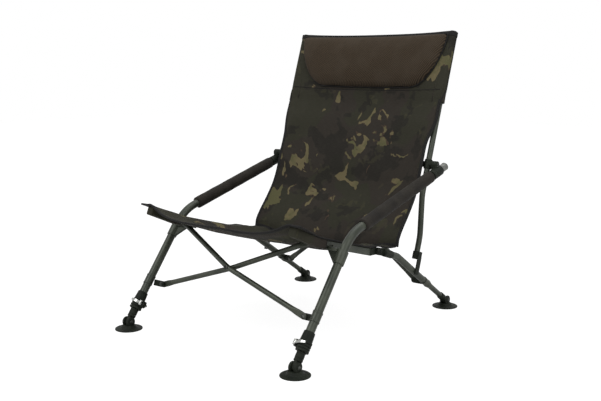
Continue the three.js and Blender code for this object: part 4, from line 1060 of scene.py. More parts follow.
FOOT_DISC = [
    (0, -20), (35.4, -20), (36.2, -19.7), (36.5, -19.0), (36.5, -17.9), (36.2, -17.3), (35.2, -16.6),
    (33.8, -16.4), (32.8, -16.5), (32.2, -16.2), (27.5, -15.9), (27.0, -16.3), (26.2, -16.3), (25.7, -15.8),
    (22.6, -15.3), (20.6, -14.4), (19.2, -12.6), (18.2, -10.4), (17.0, -8.9), (15.4, -8.1), (0, -8.0),
]
FOOT_EAR = 13.2
# How far a ferrule's outline lies inside its radius, at heights up from the ankle and down from its top
FERRULE_LOWER = [(1.2, 14), (0.4, 14.5), (0, 15.6), (0, 20.0), (0.7, 20.5), (0.7, 22.0), (0, 22.5)]
FERRULE_UPPER = [(0, 6.5), (0.6, 6), (0.6, 4.6), (0, 4), (0, 1.4), (0.5, 0.4), (1.3, 0)]


def make_feet():
    for kind, leg, ankle, plane, half, top, bore in (
        ("front", FRONT_LEG, FRONT_ANKLE, ARM_PLANE, 11.0, 37.8, 7.9),
        ("rear", REAR_LEG, REAR_ANKLE, REAR_PLANE, 10.0, 36.0, 6.2),
    ):
        ferrule = Shell()
        place = shifted(leg, plane)
        lower = [(half - inset, up) for inset, up in FERRULE_LOWER]
        upper = [(half - inset, top - down) for inset, down in FERRULE_UPPER]
        profile = [(0, 14), *lower, *upper, (bore, top), (bore, top + 14), (0, top + 14)]
        ferrule.turned(profile, place)
        outline = [(y, z) for z, y in stadium(20.0, 0.0, 8.5, 20)]
        ferrule.plate(outline, place, -4.3, 4.3, 0.8)
        dress_pair(f"{kind}_leg_ferrule", ferrule, PLASTIC)

        base = side_frame(ankle, math.pi / 2, plane)
        foot = Shell()
        foot.turned(FOOT_DISC, base, 64)
        for side in (-1, 1):
            low, high = sorted((side * 4.7, side * half))
            angles = np.linspace(radians(-35), radians(215), 36)
            ear = [(FOOT_EAR * math.cos(a), FOOT_EAR * math.sin(a)) for a in angles]
            ear += [(-15.0, -10.5), (15.0, -10.5)]
            foot.plate(ear, base, low, high, 1.3)
        dress_pair(f"{kind}_mud_foot", foot, PLASTIC)

        pin = Shell()
        axis = turned_to(base, "x")
        outer = half + GAP
        pin.turned([(0, -outer), (3.0, -outer), (3.0, outer), (0, outer)], axis, 24)
        rivet(pin, axis, 5.2, outer, 1.4, 1)
        rivet(pin, axis, 5.2, -outer, 1.4, -1)
        dress_pair(f"{kind}_foot_pin", pin, RIVET)


def make_brackets():
    for kind, leg, tube, along, plane, reach, scissor, half in (
        ("front", FRONT_LEG, ARM_TUBE, FRONT_PIVOT_ALONG, ARM_PLANE, FRONT_LOW_HALF, FRONT_SCISSOR, 4.5),
        ("rear", REAR_LEG, REAR_TUBE, REAR_PIVOT_ALONG, REAR_PLANE, BRACE_TOP, REAR_SCISSOR, 3.0),
    ):
        bracket = Shell()
        inside, outside = tube + GAP, tube + GAP + BAND_WALL
        low, high = along - BAND_HALF, along + BAND_HALF
        profile = [(inside, low), (outside, low), (outside, low + 4), (outside - 0.5, low + 4.6),
                   (outside - 0.5, high - 4.6), (outside, high - 4), (outside, high), (inside, high)]
        bracket.lathe(rounded(profile, 0.6), shifted(leg, plane), finish=1)
        bracket.plate(stadium(plane - tube, reach, BRACE_END_HALF, 18), scissor, -half, half, 1.0, "xz")
        dress_pair(f"{kind}_brace_bracket", bracket, PLASTIC, PAINT)


def make_mouldings():
    for side in ("left", "right"):
        polish(f"{side}_front_saddle", PAINT, 0.8)
        for kind in ("rail_knuckle", "rail_hinge_link", "rear_leg_plug", "back_tube_boot", "back_slider"):
            polish(f"{side}_{kind}", PLASTIC, 0.6)


# Cloth surfaces. The edges are places behind and above the rail hinge, and behind and above the hub
SEAT_EDGE = [
    (-101, 54.4), (-77, 44.2), (-52, 33.6), (-27, 23.2), (-3, 13.7), (61, -4.6), (132, -24), (184, -38.2),
    (211, -44), (245, -47), (295, -60), (329.8, -63),
]
BACK_EDGE = [
    (-137.4, -210.4), (-132.4, -189.8), (-116.4, -165.8), (-94.4, -139.8), (-72.4, -111.8), (-53.4, -83.8),
    (-38.4, -51.8), (-27.4, -19.8), (-15.4, 16.2), (0.6, 62.2), (19.6, 114.2), (36.6, 162.2),
]
CLOTH_THICKNESS = 3.0
CLOTH_HALF = 1.1
SEAT_COLUMNS, SEAT_ROWS = 16, 16
BACK_COLUMNS, FREE_ROWS, POCKET_ROWS, WRAP_COLUMNS = 16, 11, 8, 3
BACK_ROWS = FREE_ROWS + POCKET_ROWS
ROW_PARTS, COLUMN_PARTS = 8, 9
SLEEVE_THICKNESS = 1.2
TAPE_WIDTH, SEAT_FRONT_TAPE_WIDTH = 8.0, 9.0
TOP_TAPE = (13.0, 1.2)
STITCH_PITCH, STITCH_LENGTH, THREAD_RADIUS = 3.6, 2.5, 0.42
POCKET_RADIUS = BACK_TUBE + 2 * GAP + CLOTH_THICKNESS
POCKET_FROM, BACK_TOP_REACH = 168.0, 380.0
HUG_FROM, HUG_FULL, HUG_CLEAR = 8.6, 10.2, 1.4
SEAT_FRONT_HALF, SEAT_MIDDLE_HALF, SEAT_REAR_HALF = 270.0, 254.0, 249.0
SEAT_HEM_COLUMNS, BACK_HEM_STEP = 2, 6.0
SEAT_REST, SEAT_FRONT_REST = 206.8, 230.0
SEAT_RIPPLE, BACK_RIPPLE = 1.6, 2.0
FULL_WRAP, FREE_WRAP = radians(160), radians(42)
SEAT_FRONT_SAG, SEAT_SAG, SEAT_REAR_SAG = 31.0, 28.0, 22.0
BACK_SAG, BACK_TOP_SAG, BACK_TOP_DROOP = 24.0, 13.0, 2.0
BACK_ALONG = np.array([math.cos(BACK_UP), math.sin(BACK_UP)])
BACK_NORMAL = np.array([math.sin(BACK_UP), -math.cos(BACK_UP)])
PILLOW = {
    "top": 372.0, "height": 153.0, "top_half": 254.0, "bottom_half": 150.0, "side_power": 1.7, "crown": 30.0,
    "edge": 3.0, "behind": 1.2, "tape_radius": 2.3, "tape_spacing": 3.5,
}


class EdgeCurve:
    """A smooth curve through places, spaced by the square root of their distance."""

    def __init__(self, origin, places):
        self.points = [np.array([origin[0] + y, origin[1] + z], float) for y, z in places]

    def at(self, share):
        points = self.points
        last = len(points) - 1
        reached = share * last
        index = min(int(reached), last - 1)
        part = reached - index
        p1, p2 = points[index], points[index + 1]
        p0 = points[index - 1] if index > 0 else 2 * points[0] - points[1]
        p3 = points[index + 2] if index + 2 <= last else 2 * points[last] - points[last - 1]
        d0, d1, d2 = (max(np.linalg.norm(b - a) ** 0.5, 1e-4) for a, b in ((p0, p1), (p1, p2), (p2, p3)))
        t1 = ((p1 - p0) / d0 - (p2 - p0) / (d0 + d1) + (p2 - p1) / d1) * d1
        t2 = ((p2 - p1) / d1 - (p3 - p1) / (d1 + d2) + (p3 - p2) / d2) * d1
        return (p1 + t1 * part + (-3 * p1 + 3 * p2 - 2 * t1 - t2) * part ** 2
                + (2 * p1 - 2 * p2 + t1 + t2) * part ** 3)

    def along(self, share):
        return unit(self.at(min(1, share + 1e-4)) - self.at(max(0, share - 1e-4)))


SEAT_CURVE = EdgeCurve(RAIL_HINGE, SEAT_EDGE)
BACK_CURVE = EdgeCurve(HUB, BACK_EDGE)


def hollow_at(spread):
    return 1 - min(1.0, spread) ** 2.4


def seat_hollow_at(spread):
    return 1 - min(1.0, spread) ** 4.5


def seat_point(column, row):
    """A place on the middle of the seat cloth, with the sign of its side."""
    share = row / SEAT_ROWS
    place, along = SEAT_CURVE.at(share), SEAT_CURVE.along(share)
    front_half = mixed(SEAT_FRONT_HALF, SEAT_MIDDLE_HALF, smooth(share, 0, 0.35))
    half = mixed(front_half, SEAT_REAR_HALF, smooth(share, 0.6, 1))
    from_side = min(column, SEAT_COLUMNS - column)
    sign = -1 if column < SEAT_COLUMNS / 2 else 1
    hem = max(0, SEAT_HEM_COLUMNS - from_side) / SEAT_HEM_COLUMNS
    spread = 1 - max(0, from_side - SEAT_HEM_COLUMNS) / (SEAT_COLUMNS / 2 - SEAT_HEM_COLUMNS)
    hollow = seat_hollow_at(spread)
    rest = mixed(SEAT_FRONT_REST, SEAT_REST, smooth(share, 0.08, 0.26))
    x = mixed(rest * spread, half, hem)
    depth = mixed(SEAT_SAG, SEAT_REAR_SAG, smooth(share, 0.45, 1)) * hollow
    depth -= (SEAT_SAG - SEAT_FRONT_SAG) * (1 - smooth(share, 0, 0.45)) * hollow
    ripple = SEAT_RIPPLE * math.sin(9 * share + 3 * spread) * hollow * (1 - smooth(share, 0.75, 1))
    down = depth + ripple
    return np.array([sign * x, place[0] + down * along[1], place[1] - down * along[0]])


def pocket_share(reach):
    """How far up the pockets a distance above the hub lies."""
    return (reach - POCKET_FROM) / (BACK_TOP_REACH - POCKET_FROM)


def wrap_of(row):
    """How far round the tube the side of the back cloth has gone at a row."""
    full = FULL_WRAP * smooth(row, FREE_ROWS - 1, FREE_ROWS + 4)
    return max(full, FREE_WRAP * smooth(row, HUG_FROM, HUG_FULL))


def back_point(column, row):
    """A place on the middle of the back cloth. Above the free rows its sides go round the back tubes."""
    pocketed = row >= FREE_ROWS
    if pocketed:
        share = (row - FREE_ROWS) / POCKET_ROWS
        reach = mixed(POCKET_FROM, BACK_TOP_REACH, share)
        place = step(HUB, BACK_UP, reach) - POCKET_RADIUS * BACK_NORMAL
        along = BACK_ALONG
    else:
        share = row / FREE_ROWS
        place, along = BACK_CURVE.at(share), BACK_CURVE.along(share)
    normal = np.array([along[1], -along[0]])
    sign = -1 if column < BACK_COLUMNS / 2 else 1
    from_side = min(column, BACK_COLUMNS - column)
    wrap = wrap_of(row)
    if pocketed and from_side < WRAP_COLUMNS:
        angle = wrap * (WRAP_COLUMNS - from_side) / WRAP_COLUMNS
        out = REAR_PLANE + POCKET_RADIUS * math.sin(angle)
        rearward = POCKET_RADIUS * (1 - math.cos(angle))
        return np.array([sign * out, *(place + rearward * normal)])
    hemmed = max(0, WRAP_COLUMNS - from_side) * BACK_HEM_STEP
    inner = REAR_PLANE if pocketed else POCKET_INNER
    spread = 1 - max(0, from_side - WRAP_COLUMNS) / (BACK_COLUMNS / 2 - WRAP_COLUMNS)
    depth = mixed(BACK_SAG, BACK_TOP_SAG, share) if pocketed else BACK_SAG * smooth(share, 0, 0.6)
    folds = 0 if pocketed else BACK_RIPPLE * math.sin(16 * share + 2 * spread) * smooth(share, 0, 0.2)
    hollow = hollow_at(spread)
    rearward = (depth + folds) * hollow
    droop = BACK_TOP_DROOP * hollow * smooth(share, 0.6, 1) if pocketed else 0
    x = inner * spread + hemmed
    drop = 0 if pocketed else SEAT_REAR_SAG * seat_hollow_at(x / SEAT_REST) * (1 - smooth(share, 0, 0.5))
    side = place + rearward * normal - droop * along
    free = np.array([x, side[0], side[1] - drop])
    hug = smooth(row, HUG_FROM, HUG_FULL)
    if hug > 0 and from_side < WRAP_COLUMNS:
        angle = wrap * (WRAP_COLUMNS - from_side) / WRAP_COLUMNS
        radius = POCKET_RADIUS + HUG_CLEAR
        centre = step(HUB, BACK_UP, float((place - HUB) @ BACK_ALONG))
        centre = centre - radius * math.cos(angle) * BACK_NORMAL
        held = np.array([REAR_PLANE + radius * math.sin(angle), centre[0], centre[1]])
        free = mixed(free, held, hug)
    return free * (sign, 1, 1)


def between_rows(count, parts):
    """Weights that run a smooth curve through evenly spaced points."""
    samples = (count - 1) * parts + 1
    weights = np.zeros((samples, count))
    for sample in range(samples):
        index = min(sample // parts, count - 2)
        t = sample / parts - index
        basis = (-0.5 * t + t * t - 0.5 * t ** 3, 1 - 2.5 * t * t + 1.5 * t ** 3,
                 0.5 * t + 2 * t * t - 1.5 * t ** 3, -0.5 * t * t + 0.5 * t ** 3)
        for offset, weight in zip((-1, 0, 1, 2), basis):
            at = index + offset
            if at < 0:
                weights[sample, 0] += 2 * weight
                weights[sample, 1] -= weight
            elif at > count - 1:
                weights[sample, count - 1] += 2 * weight
                weights[sample, count - 2] -= weight
            else:
                weights[sample, at] += weight
    return weights


def fine(coarse, row_parts, column_parts):
    rows = between_rows(coarse.shape[0], row_parts)
    columns = between_rows(coarse.shape[1], column_parts)
    return np.einsum("ij,jkc,lk->ilc", rows, coarse, columns)


def normals_of(grid):
    along_rows = np.gradient(grid, axis=0)
    along_columns = np.gradient(grid, axis=1)
    normal = np.cross(along_columns, along_rows)
    return normal / np.maximum(np.linalg.norm(normal, axis=2, keepdims=True), 1e-9)


def surface_maps(grid):
    """Distances over the cloth, from its middle line across and from its first row up, in metres."""
    across = np.cumsum(np.linalg.norm(np.diff(grid, axis=1), axis=2), axis=1)
    across = np.concatenate([np.zeros((grid.shape[0], 1)), across], axis=1)
    across -= across[:, grid.shape[1] // 2][:, None]
    up = np.cumsum(np.linalg.norm(np.diff(grid, axis=0), axis=2), axis=0)
    up = np.concatenate([np.zeros((1, grid.shape[1])), up], axis=0)
    return np.stack([across, up], axis=2) * MM


def wrinkled(grid, normal, amount, stretch, seed, fade):
    """The grid moved along its normals by folds that are longer one way than the other."""
    out = grid.copy()
    rows, columns = grid.shape[:2]
    maps = surface_maps(grid)
    for row in range(rows):
        for column in range(columns):
            u, v = maps[row, column]
            place = Vector((u * stretch[0] + seed, v * stretch[1], seed))
            value = noise.noise(place) + 0.45 * noise.noise(place * 2.3) + 0.2 * noise.noise(place * 5.1)
            share = fade(row / (rows - 1), column / (columns - 1))
            out[row, column] += normal[row, column] * value * amount * share
    return out


def creased(point, columns, rows, facing, amount, stretch, seed, fade):
    """A fine, wrinkled grid through a cloth's points, and its normals, which look the way it faces."""
    coarse = np.array([[point(c, r) for c in range(columns + 1)] for r in range(rows + 1)])
    middle = fine(coarse, ROW_PARTS, COLUMN_PARTS)
    normal = normals_of(middle)
    if normal[len(normal) // 2, len(normal[0]) // 2] @ facing < 0:
        normal = -normal
    middle = wrinkled(middle, normal, amount, stretch, seed, fade)
    again = normals_of(middle)
    return middle, again * np.sign((again * normal).sum(axis=2, keepdims=True))


def rim_of(grid):
    """The rows and columns round a grid, in order."""
    rows, columns = grid.shape[:2]
    out = [(0, column) for column in range(columns)] + [(row, columns - 1) for row in range(1, rows)]
    back = [(rows - 1, column) for column in range(columns - 2, -1, -1)]
    return out + back + [(row, 0) for row in range(rows - 2, 0, -1)]


def closed_shell(front, back, maps):
    """Two grids of one size, joined round their rim."""
    shell = Shell()
    first = shell.grid(front, maps=maps)
    second = shell.grid(back, maps=maps)
    rim = rim_of(front)
    for (row, column), (r2, c2) in zip(rim, [*rim[1:], rim[0]]):
        a, b = row * front.shape[1] + column, r2 * front.shape[1] + c2
        shell.faces.append((first + a, second + a, second + b, first + b))
        shell.maps.append((maps[row, column], maps[row, column], maps[r2, c2], maps[r2, c2]))
        shell.finishes.append(0)
    return shell


def cloth_shell(middle, normal, maps, thickness=2 * CLOTH_HALF):
    """A closed sheet whose two faces lie half a thickness from the middle."""
    lift = normal * (thickness / 2)
    return closed_shell(middle + lift, middle - lift, maps)


def folded_tape(shell, middle, normal, side, part=slice(None), width=TAPE_WIDTH, thick=0.8):
    """A tape folded over one edge of a cloth grid, from one face round to the other."""
    edge, further_in = (0, 2) if side.startswith("first") else (-1, -3)
    rows = side.endswith("row")
    pick, next_in = ((at, slice(None)) if rows else (slice(None), at) for at in (edge, further_in))
    inward = middle[next_in] - middle[pick]
    inward = inward / np.linalg.norm(inward, axis=1, keepdims=True)
    face, inner = CLOTH_HALF + thick, CLOTH_HALF * 0.5
    half = [(width, inner), (width, face - 0.3), (width - 0.6, face), (0.9, face), (-0.5, face * 0.72)]
    section = [*half, (-1.1, 0.0), *[(a, -b) for a, b in reversed(half)], (1.0, -inner), (1.0, inner)]
    shell.rings([[point + a * ahead + b * up for a, b in section]
                 for point, ahead, up in zip(middle[pick][part], inward[part], normal[pick][part])])


def stitches(shell, points, ups, finish):
    """Short threads that lie along a line of points, each with the cloth's own direction up."""
    pitch, length, radius = STITCH_PITCH, STITCH_LENGTH, THREAD_RADIUS
    points = np.asarray(points)
    ups = np.asarray(ups)
    reach = lengths_along(points)
    for start in np.arange(pitch / 2, reach[-1] - length, pitch):
        ring_rows = []
        for share, size in ((0.0, 0.15), (0.2, 0.9), (0.5, 1.0), (0.8, 0.9), (1.0, 0.15)):
            at = start + share * length
            point = np.array([np.interp(at, reach, points[:, k]) for k in range(3)])
            up = unit(np.array([np.interp(at, reach, ups[:, k]) for k in range(3)]))
            index = min(np.searchsorted(reach, at), len(points) - 1)
            ahead = unit(points[index] - points[max(index - 1, 0)] + 1e-9)
            side = np.cross(ahead, up)
            lift = 0.35 * radius * (1 - (2 * share - 1) ** 2)
            ring_rows.append([point + up * (lift + radius * size * rise) + side * radius * size * out
                              for out, rise in ((1, 0), (0, 1), (-1, 0), (0, -1))])
        shell.rings(ring_rows, finish)


def soft_piece(piece):
    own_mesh(piece)
    return piece


def trim(name, shell, body, slot, fold, *materials):
    """A sewn piece, attached to its body. If a fold is given it gets a mesh of its own."""
    piece = make(name, shell, materials)
    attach(piece, body)
    return soft_piece(piece) if fold else piece


# Seat
def make_seat():
    def fade(v, u):
        edge = min(u, 1 - u) * 2
        return smooth(edge, 0.18, 0.5) * (0.6 + 0.4 * math.sin(math.pi * v)) + 0.12

    middle, normal = creased(seat_point, SEAT_COLUMNS, SEAT_ROWS, (0, 0, 1), 1.5, (9, 5), 3.7, fade)
    shell = cloth_shell(middle, normal, surface_maps(middle))
    seat = dress("seat_panel", shell, CAMO)
    soft_piece(seat)
    body = BODY_OF["seat_panel"]

    rim = Shell()
    folded_tape(rim, middle, normal, "first_row", width=SEAT_FRONT_TAPE_WIDTH)
    for side in ("last_row", "first_column", "last_column"):
        folded_tape(rim, middle, normal, side)
    rim.cord(middle[0] + normal[0] * 0.3, 2.6, sides=12)
    piping = trim("seat_edge_binding", rim, body, "camouflage_cloth", SEAT_FOLD, TAPE)

    sewn = Shell()
    columns = middle.shape[1]
    for row in (3, 6):
        sew(sewn, middle, normal, (row, slice(3, columns - 3)))
    for column in (4, columns - 5, 19, columns - 20):
        sew(sewn, middle, normal, (slice(4, -3), column))
    stitching = trim("seat_stitching", sewn, body, "camouflage_cloth", SEAT_FOLD, THREAD)


SOCK_REACH = 128.0
SOCK_CLEAR = 1.4
SOCK_THICK = 1.2
SOCK_CORNER = 4.6


def make_rail_socks():
    """Cloth pockets that the front ends of the seat rails sit in, closed at the front."""
    path = bent(side_points(RAIL_PLACES, RAIL_PLANE), [RAIL_BEND_RADIUS], run_step=5.0)
    from_tip = lengths_along(path[::-1])[::-1]
    path = path[from_tip <= SOCK_REACH]
    ahead = unit(path[-1] - path[-2])
    skins = []
    for grow in (SOCK_CLEAR + SOCK_THICK, SOCK_CLEAR):
        outlines = []
        for index in range(len(path)):
            puff = 0.5 * math.sin(index * 0.9) + 0.35 * math.sin(index * 2.3)
            wide, high = RAIL_HALF_WIDTH + grow + puff * 0.4, RAIL_HALF_HEIGHT + grow
            outlines.append(rounded(oblong(wide, high), SOCK_CORNER, 6))
        rings = swept_rings(path, np.array(outlines))
        tip = path[-1]
        front = [tip + (rings[-1] - tip) * size + ahead * out
                 for size, out in ((0.97, grow * 0.5), (0.85, grow * 0.85), (0.6, grow), (0.05, grow * 1.05))]
        skins.append([*rings, *front])
    sock = Shell()
    sock.rings([*skins[0], *skins[1][::-1], skins[0][0]], closed=False)
    hem = Shell()
    hem.cord(skins[0][0] * 0.5 + skins[1][0] * 0.5, 1.5, loop=True, sides=8)
    for side, shells in (("left", (sock, hem)), ("right", (sock.mirrored(), hem.mirrored()))):
        trim(f"{side}_rail_pocket", shells[0], f"{side}_rail", "camouflage_cloth", None, CAMO)
        trim(f"{side}_rail_pocket_hem", shells[1], f"{side}_rail", "camouflage_cloth", None, TAPE)


# Back
SEAM_REACH = 210.0
SLEEVE_FROM, SLEEVE_TO, SLEEVE_ROUND_TO = 176.0, 377.0, radians(238)
WIDEST_WRAP = radians(92)
PIPING_LIFT, PIPING_RADIUS = 1.2, 1.5
POCKET_TOP = [
    (0, 379.8), (11.4, 379.8), (11.6, 372.5), (13.2, 372.5), (13.3, 376.5), (12.4, 380.2), (10.0, 382.6),
    (6.0, 383.9), (0, 384.3),
]


def make_back():
    def fade(v, u):
        edge = min(u, 1 - u) * 2
        inside = smooth(edge, 0.40, 0.6)
        lower = 1 - smooth(v, 0.25, 0.6)
        return inside * (0.35 + 0.9 * lower) + (1 - inside) * 0.12 * lower

    middle, normal = creased(back_point, BACK_COLUMNS, BACK_ROWS, (0, -1, 0), 1.7, (6, 9), 11.2, fade)
    maps = surface_maps(middle)
    rows, columns = middle.shape[:2]
    free = FREE_ROWS * ROW_PARTS
    pocket = WRAP_COLUMNS * COLUMN_PARTS
    panel = slice(pocket, columns - pocket)
    shell = cloth_shell(middle[:, panel], normal[:, panel], maps[:, panel])
    back = dress("back_panel", shell, CAMO)
    soft_piece(back)
    body = BODY_OF["back_panel"]

    seam_row = round((FREE_ROWS + pocket_share(SEAM_REACH) * POCKET_ROWS) * ROW_PARTS)
    rim = Shell()
    folded_tape(rim, middle, normal, "first_row", panel)
    folded_tape(rim, middle, normal, "last_row", panel, *TOP_TAPE)
    rim.cord(middle[seam_row, panel] + normal[seam_row, panel] * CLOTH_HALF, 1.0, sides=8)
    pieces = [trim("back_edge_binding", rim, body, "camouflage_cloth", BACK_FOLD, TAPE)]

    sewn = Shell()
    for row in (3, seam_row - 1, seam_row + 1):
        sew(sewn, middle, normal, (row, slice(pocket + 2, columns - pocket - 2)))
    for column in (pocket + 4, columns - pocket - 5):
        sew(sewn, middle, normal, (slice(free, rows - 3), column))
    pieces.append(trim("back_stitching", sewn, body, "camouflage_cloth", BACK_FOLD, THREAD))

    for side, sign, part, edge, hem in (
        ("right", -1, slice(0, pocket + 1), "first_column", 7),
        ("left", 1, slice(columns - pocket - 1, columns), "last_column", columns - 8),
    ):
        sleeve = cloth_shell(middle[:, part], normal[:, part], maps[:, part])
        add_sleeve(sleeve, sign)
        pieces.append(trim(f"{side}_back_pocket", sleeve, f"{side}_back", "camouflage_cloth", None, CAMO))
        rim = Shell()
        folded_tape(rim, middle, normal, "first_row", part)
        folded_tape(rim, middle, normal, "last_row", part, *TOP_TAPE)
        folded_tape(rim, middle, normal, edge, slice(0, free + 5))
        rim.cord(outer_meridian(sign), PIPING_RADIUS, sides=10)
        rim.turned(POCKET_TOP, shifted(BACK, sign * REAR_PLANE), 28)
        sew(rim, middle, normal, (slice(4, free - 20), hem), finish=1)
        binding = trim(f"{side}_pocket_binding", rim, f"{side}_back", "camouflage_cloth", None, TAPE, THREAD)
        pieces.append(binding)


def sew(shell, middle, normal, line, finish=0):
    """Stitches on both faces along one line of a cloth grid."""
    for face in (1, -1):
        ups = normal[line] * face
        stitches(shell, middle[line] + ups * (CLOTH_HALF + 0.05), ups, finish)


def wrap_at(reach):
    """How far round the tube the cloth has gone at a distance above the hub."""
    return wrap_of(FREE_ROWS + pocket_share(reach) * POCKET_ROWS)


def outer_meridian(sign):
    """The line of the side pocket that is furthest from the middle of the chair."""
    points = []
    for reach in np.linspace(POCKET_FROM, BACK_TOP_REACH - 1, 70):
        centre = step(HUB, BACK_UP, reach)
        angle = min(wrap_at(reach), WIDEST_WRAP)
        radius = POCKET_RADIUS + PIPING_LIFT
        side = centre - radius * math.cos(angle) * BACK_NORMAL
        points.append((sign * (REAR_PLANE + radius * math.sin(angle)), side[0], side[1]))
    return np.array(points)


def add_sleeve(shell, sign):
    """The rear part of a side pocket, from where the cloth has gone round to the back of the panel."""
    rows = []
    for reach in np.linspace(SLEEVE_FROM, SLEEVE_TO, 66):
        centre = step(HUB, BACK_UP, reach)
        share = pocket_share(reach)
        outline = []
        round_from = max(wrap_at(reach) - radians(9), radians(10))
        for angle in np.linspace(round_from, SLEEVE_ROUND_TO, 22):
            radius = POCKET_RADIUS + 0.5 + 0.25 * math.sin(reach * 0.13 + angle * 2)
            outline.append((REAR_PLANE + radius * math.sin(angle), -radius * math.cos(angle)))
        end = (POCKET_INNER + 1.5, -POCKET_RADIUS + 2.2 + 0.6 * share)
        start = outline[-1]
        for part in np.linspace(0.15, 1, 8):
            sagged = 1.2 * math.sin(math.pi * part)
            x, depth = (mixed(a, b, part) for a, b in zip(start, end))
            outline.append((x + sagged * 0.3, depth + sagged))
        rows.append([(sign * x, centre[0] + depth * BACK_NORMAL[0], centre[1] + depth * BACK_NORMAL[1])
                     for x, depth in outline])
    middle = np.array(rows)
    shell.join(cloth_shell(middle, normals_of(middle), surface_maps(middle), SLEEVE_THICKNESS))


# Headrest
def pillow_point(u, v, crown=None):
    """A place on the face of the pad, or on its rear if no crown is given."""
    spread, drop = 2 * u - 1, 1 - v
    flare = math.sqrt(max(0.0, 1 - drop ** PILLOW["side_power"]))
    half = mixed(PILLOW["bottom_half"], PILLOW["top_half"], flare)
    x = half * spread
    reach = PILLOW["top"] - PILLOW["height"] * drop - BACK_TOP_DROOP * (1 - spread ** 2) * (1 - drop)
    hollow = hollow_at(abs(x) / REAR_PLANE)
    share = min(1.0, max(0.0, pocket_share(reach)))
    sag = mixed(BACK_SAG, BACK_TOP_SAG, share) * hollow
    back = -POCKET_RADIUS - CLOTH_THICKNESS / 2 - PILLOW["behind"] + sag
    round_across = max(0.0, 1 - abs(spread) ** 6) ** 0.5
    round_up = max(0.0, 1 - abs(2 * v - 1) ** 4) ** 0.5
    forward = 0.0 if crown is None else PILLOW["edge"] + crown * round_across * round_up
    centre = step(HUB, BACK_UP, reach)
    return np.array([x, *(centre + (back - forward) * BACK_NORMAL)])


def rim_share(count):
    """Shares that crowd towards both ends, so that the rounded rim has enough rows."""
    return 0.5 - 0.5 * np.cos(np.linspace(0, math.pi, count))


PUFF = {
    "quality": 5, "mass": 0.25, "use_pressure": True, "uniform_pressure_force": 3.0, "tension_stiffness": 25,
    "compression_stiffness": 25, "shear_stiffness": 12, "bending_stiffness": 1.2, "vertex_group_mass": "held",
}
PUFF_FRAMES = 20
PUFF_CAP = 7.0 * MM
PUFF_ROOM = 4.0
VOXEL = 5.0 * MM


def puffed(piece):
    """The pad blown up by the cloth solver from its own shape, no point further than the cap."""
    rest = np.array([v.co for v in piece.data.vertices])
    group = piece.vertex_groups.new(name="held")
    for vertex in piece.data.vertices:
        depth = float(np.dot((np.array(vertex.co)[1:] / MM - (HUB[0] + SHIFT_Y, HUB[1])), BACK_NORMAL))
        held = smooth(depth, -POCKET_RADIUS - 7.0, -POCKET_RADIUS - 1.0)
        if held > 0.02:
            group.add([vertex.index], held, "REPLACE")
    cloth = piece.modifiers.new("cloth", "CLOTH")
    for name, value in PUFF.items():
        setattr(cloth.settings, name, value)
    cloth.settings.effector_weights.gravity = 0
    cloth.point_cache.frame_start, cloth.point_cache.frame_end = 1, PUFF_FRAMES
    scene = bpy.context.scene
    for number in range(1, PUFF_FRAMES + 1):
        scene.frame_set(number)
    evaluated = piece.evaluated_get(bpy.context.evaluated_depsgraph_get())
    moved = np.array([v.co for v in evaluated.data.vertices])
    piece.modifiers.remove(cloth)
    piece.vertex_groups.remove(group)
    scene.frame_set(1)
    change = moved - rest
    length = np.linalg.norm(change, axis=1, keepdims=True)
    change *= np.minimum(1.0, PUFF_CAP / np.maximum(length, 1e-9))
    piece.data.vertices.foreach_set("co", (rest + change).ravel())
    piece.data.update()


def applied(piece):
    """The piece with its modifiers made part of its mesh."""
    graph = bpy.context.evaluated_depsgraph_get()
    mesh = bpy.data.meshes.new_from_object(piece.evaluated_get(graph))
    piece.modifiers.clear()
    old = piece.data
    piece.data = mesh
    bpy.data.meshes.remove(old)


def make_headrest():
    crown = PILLOW["crown"] - PUFF_ROOM
    us, vs = rim_share(97), rim_share(49)
    front = np.array([[pillow_point(u, v, crown) for u in us] for v in vs])
    back = np.array([[pillow_point(u, v) for u in us] for v in vs])
    shell = closed_shell(front, back, surface_maps(back))
    pillow = make("headrest_pillow_detailed", shell, [MESH], PAD_SHARP_ANGLE)
    remesh = pillow.modifiers.new("remesh", "REMESH")
    remesh.mode = "VOXEL"
    remesh.voxel_size = VOXEL
    applied(pillow)
    puffed(pillow)
    subdivide = pillow.modifiers.new("subdivide", "SUBSURF")
    subdivide.levels = subdivide.render_levels = 1
    applied(pillow)
    pillow.data.materials.clear()
    pillow.data.materials.append(MESH)
    pillow.data.shade_smooth()
    map_from_above(pillow)
    soft_piece(stand_for(pillow, "headrest_pillow"))

    tape = Shell()
    rim = [back[place] * 0.55 + front[place] * 0.45 for place in rim_of(front)]
    loop = thinned(rim, PILLOW["tape_spacing"])
    tape.cord(loop, PILLOW["tape_radius"], loop=True, sides=10)
    trim("headrest_edge_tape", tape, BODY_OF["headrest_pillow"], "mesh_cloth", BACK_FOLD, TAPE)


def thinned(points, spacing):
    kept = [points[0]]
    for point in points[1:]:
        if np.linalg.norm(point - kept[-1]) >= spacing:
            kept.append(point)
    return kept


def map_from_above(piece):
    """A map in metres laid over the pad along the back's own directions."""
    mesh = piece.data
    layer = mesh.uv_layers.get("map") or mesh.uv_layers.new(name="map")
    points = np.array([v.co for v in mesh.vertices])
    up = points[:, 1] * BACK_ALONG[0] + points[:, 2] * BACK_ALONG[1]
    flat = np.stack([points[:, 0], up], axis=1)
    corners = np.array([loop.vertex_index for loop in mesh.loops])
    layer.data.foreach_set("uv", flat[corners].astype(np.float32).ravel())


# Room, light and camera
FLOOR_HALF = 8.0
FLOOR_GLOW, FLOOR_GLOW_SHARE = 1.25, 0.7
ROOM_LIGHT, ROOM_SEEN = 0.55, 1.0


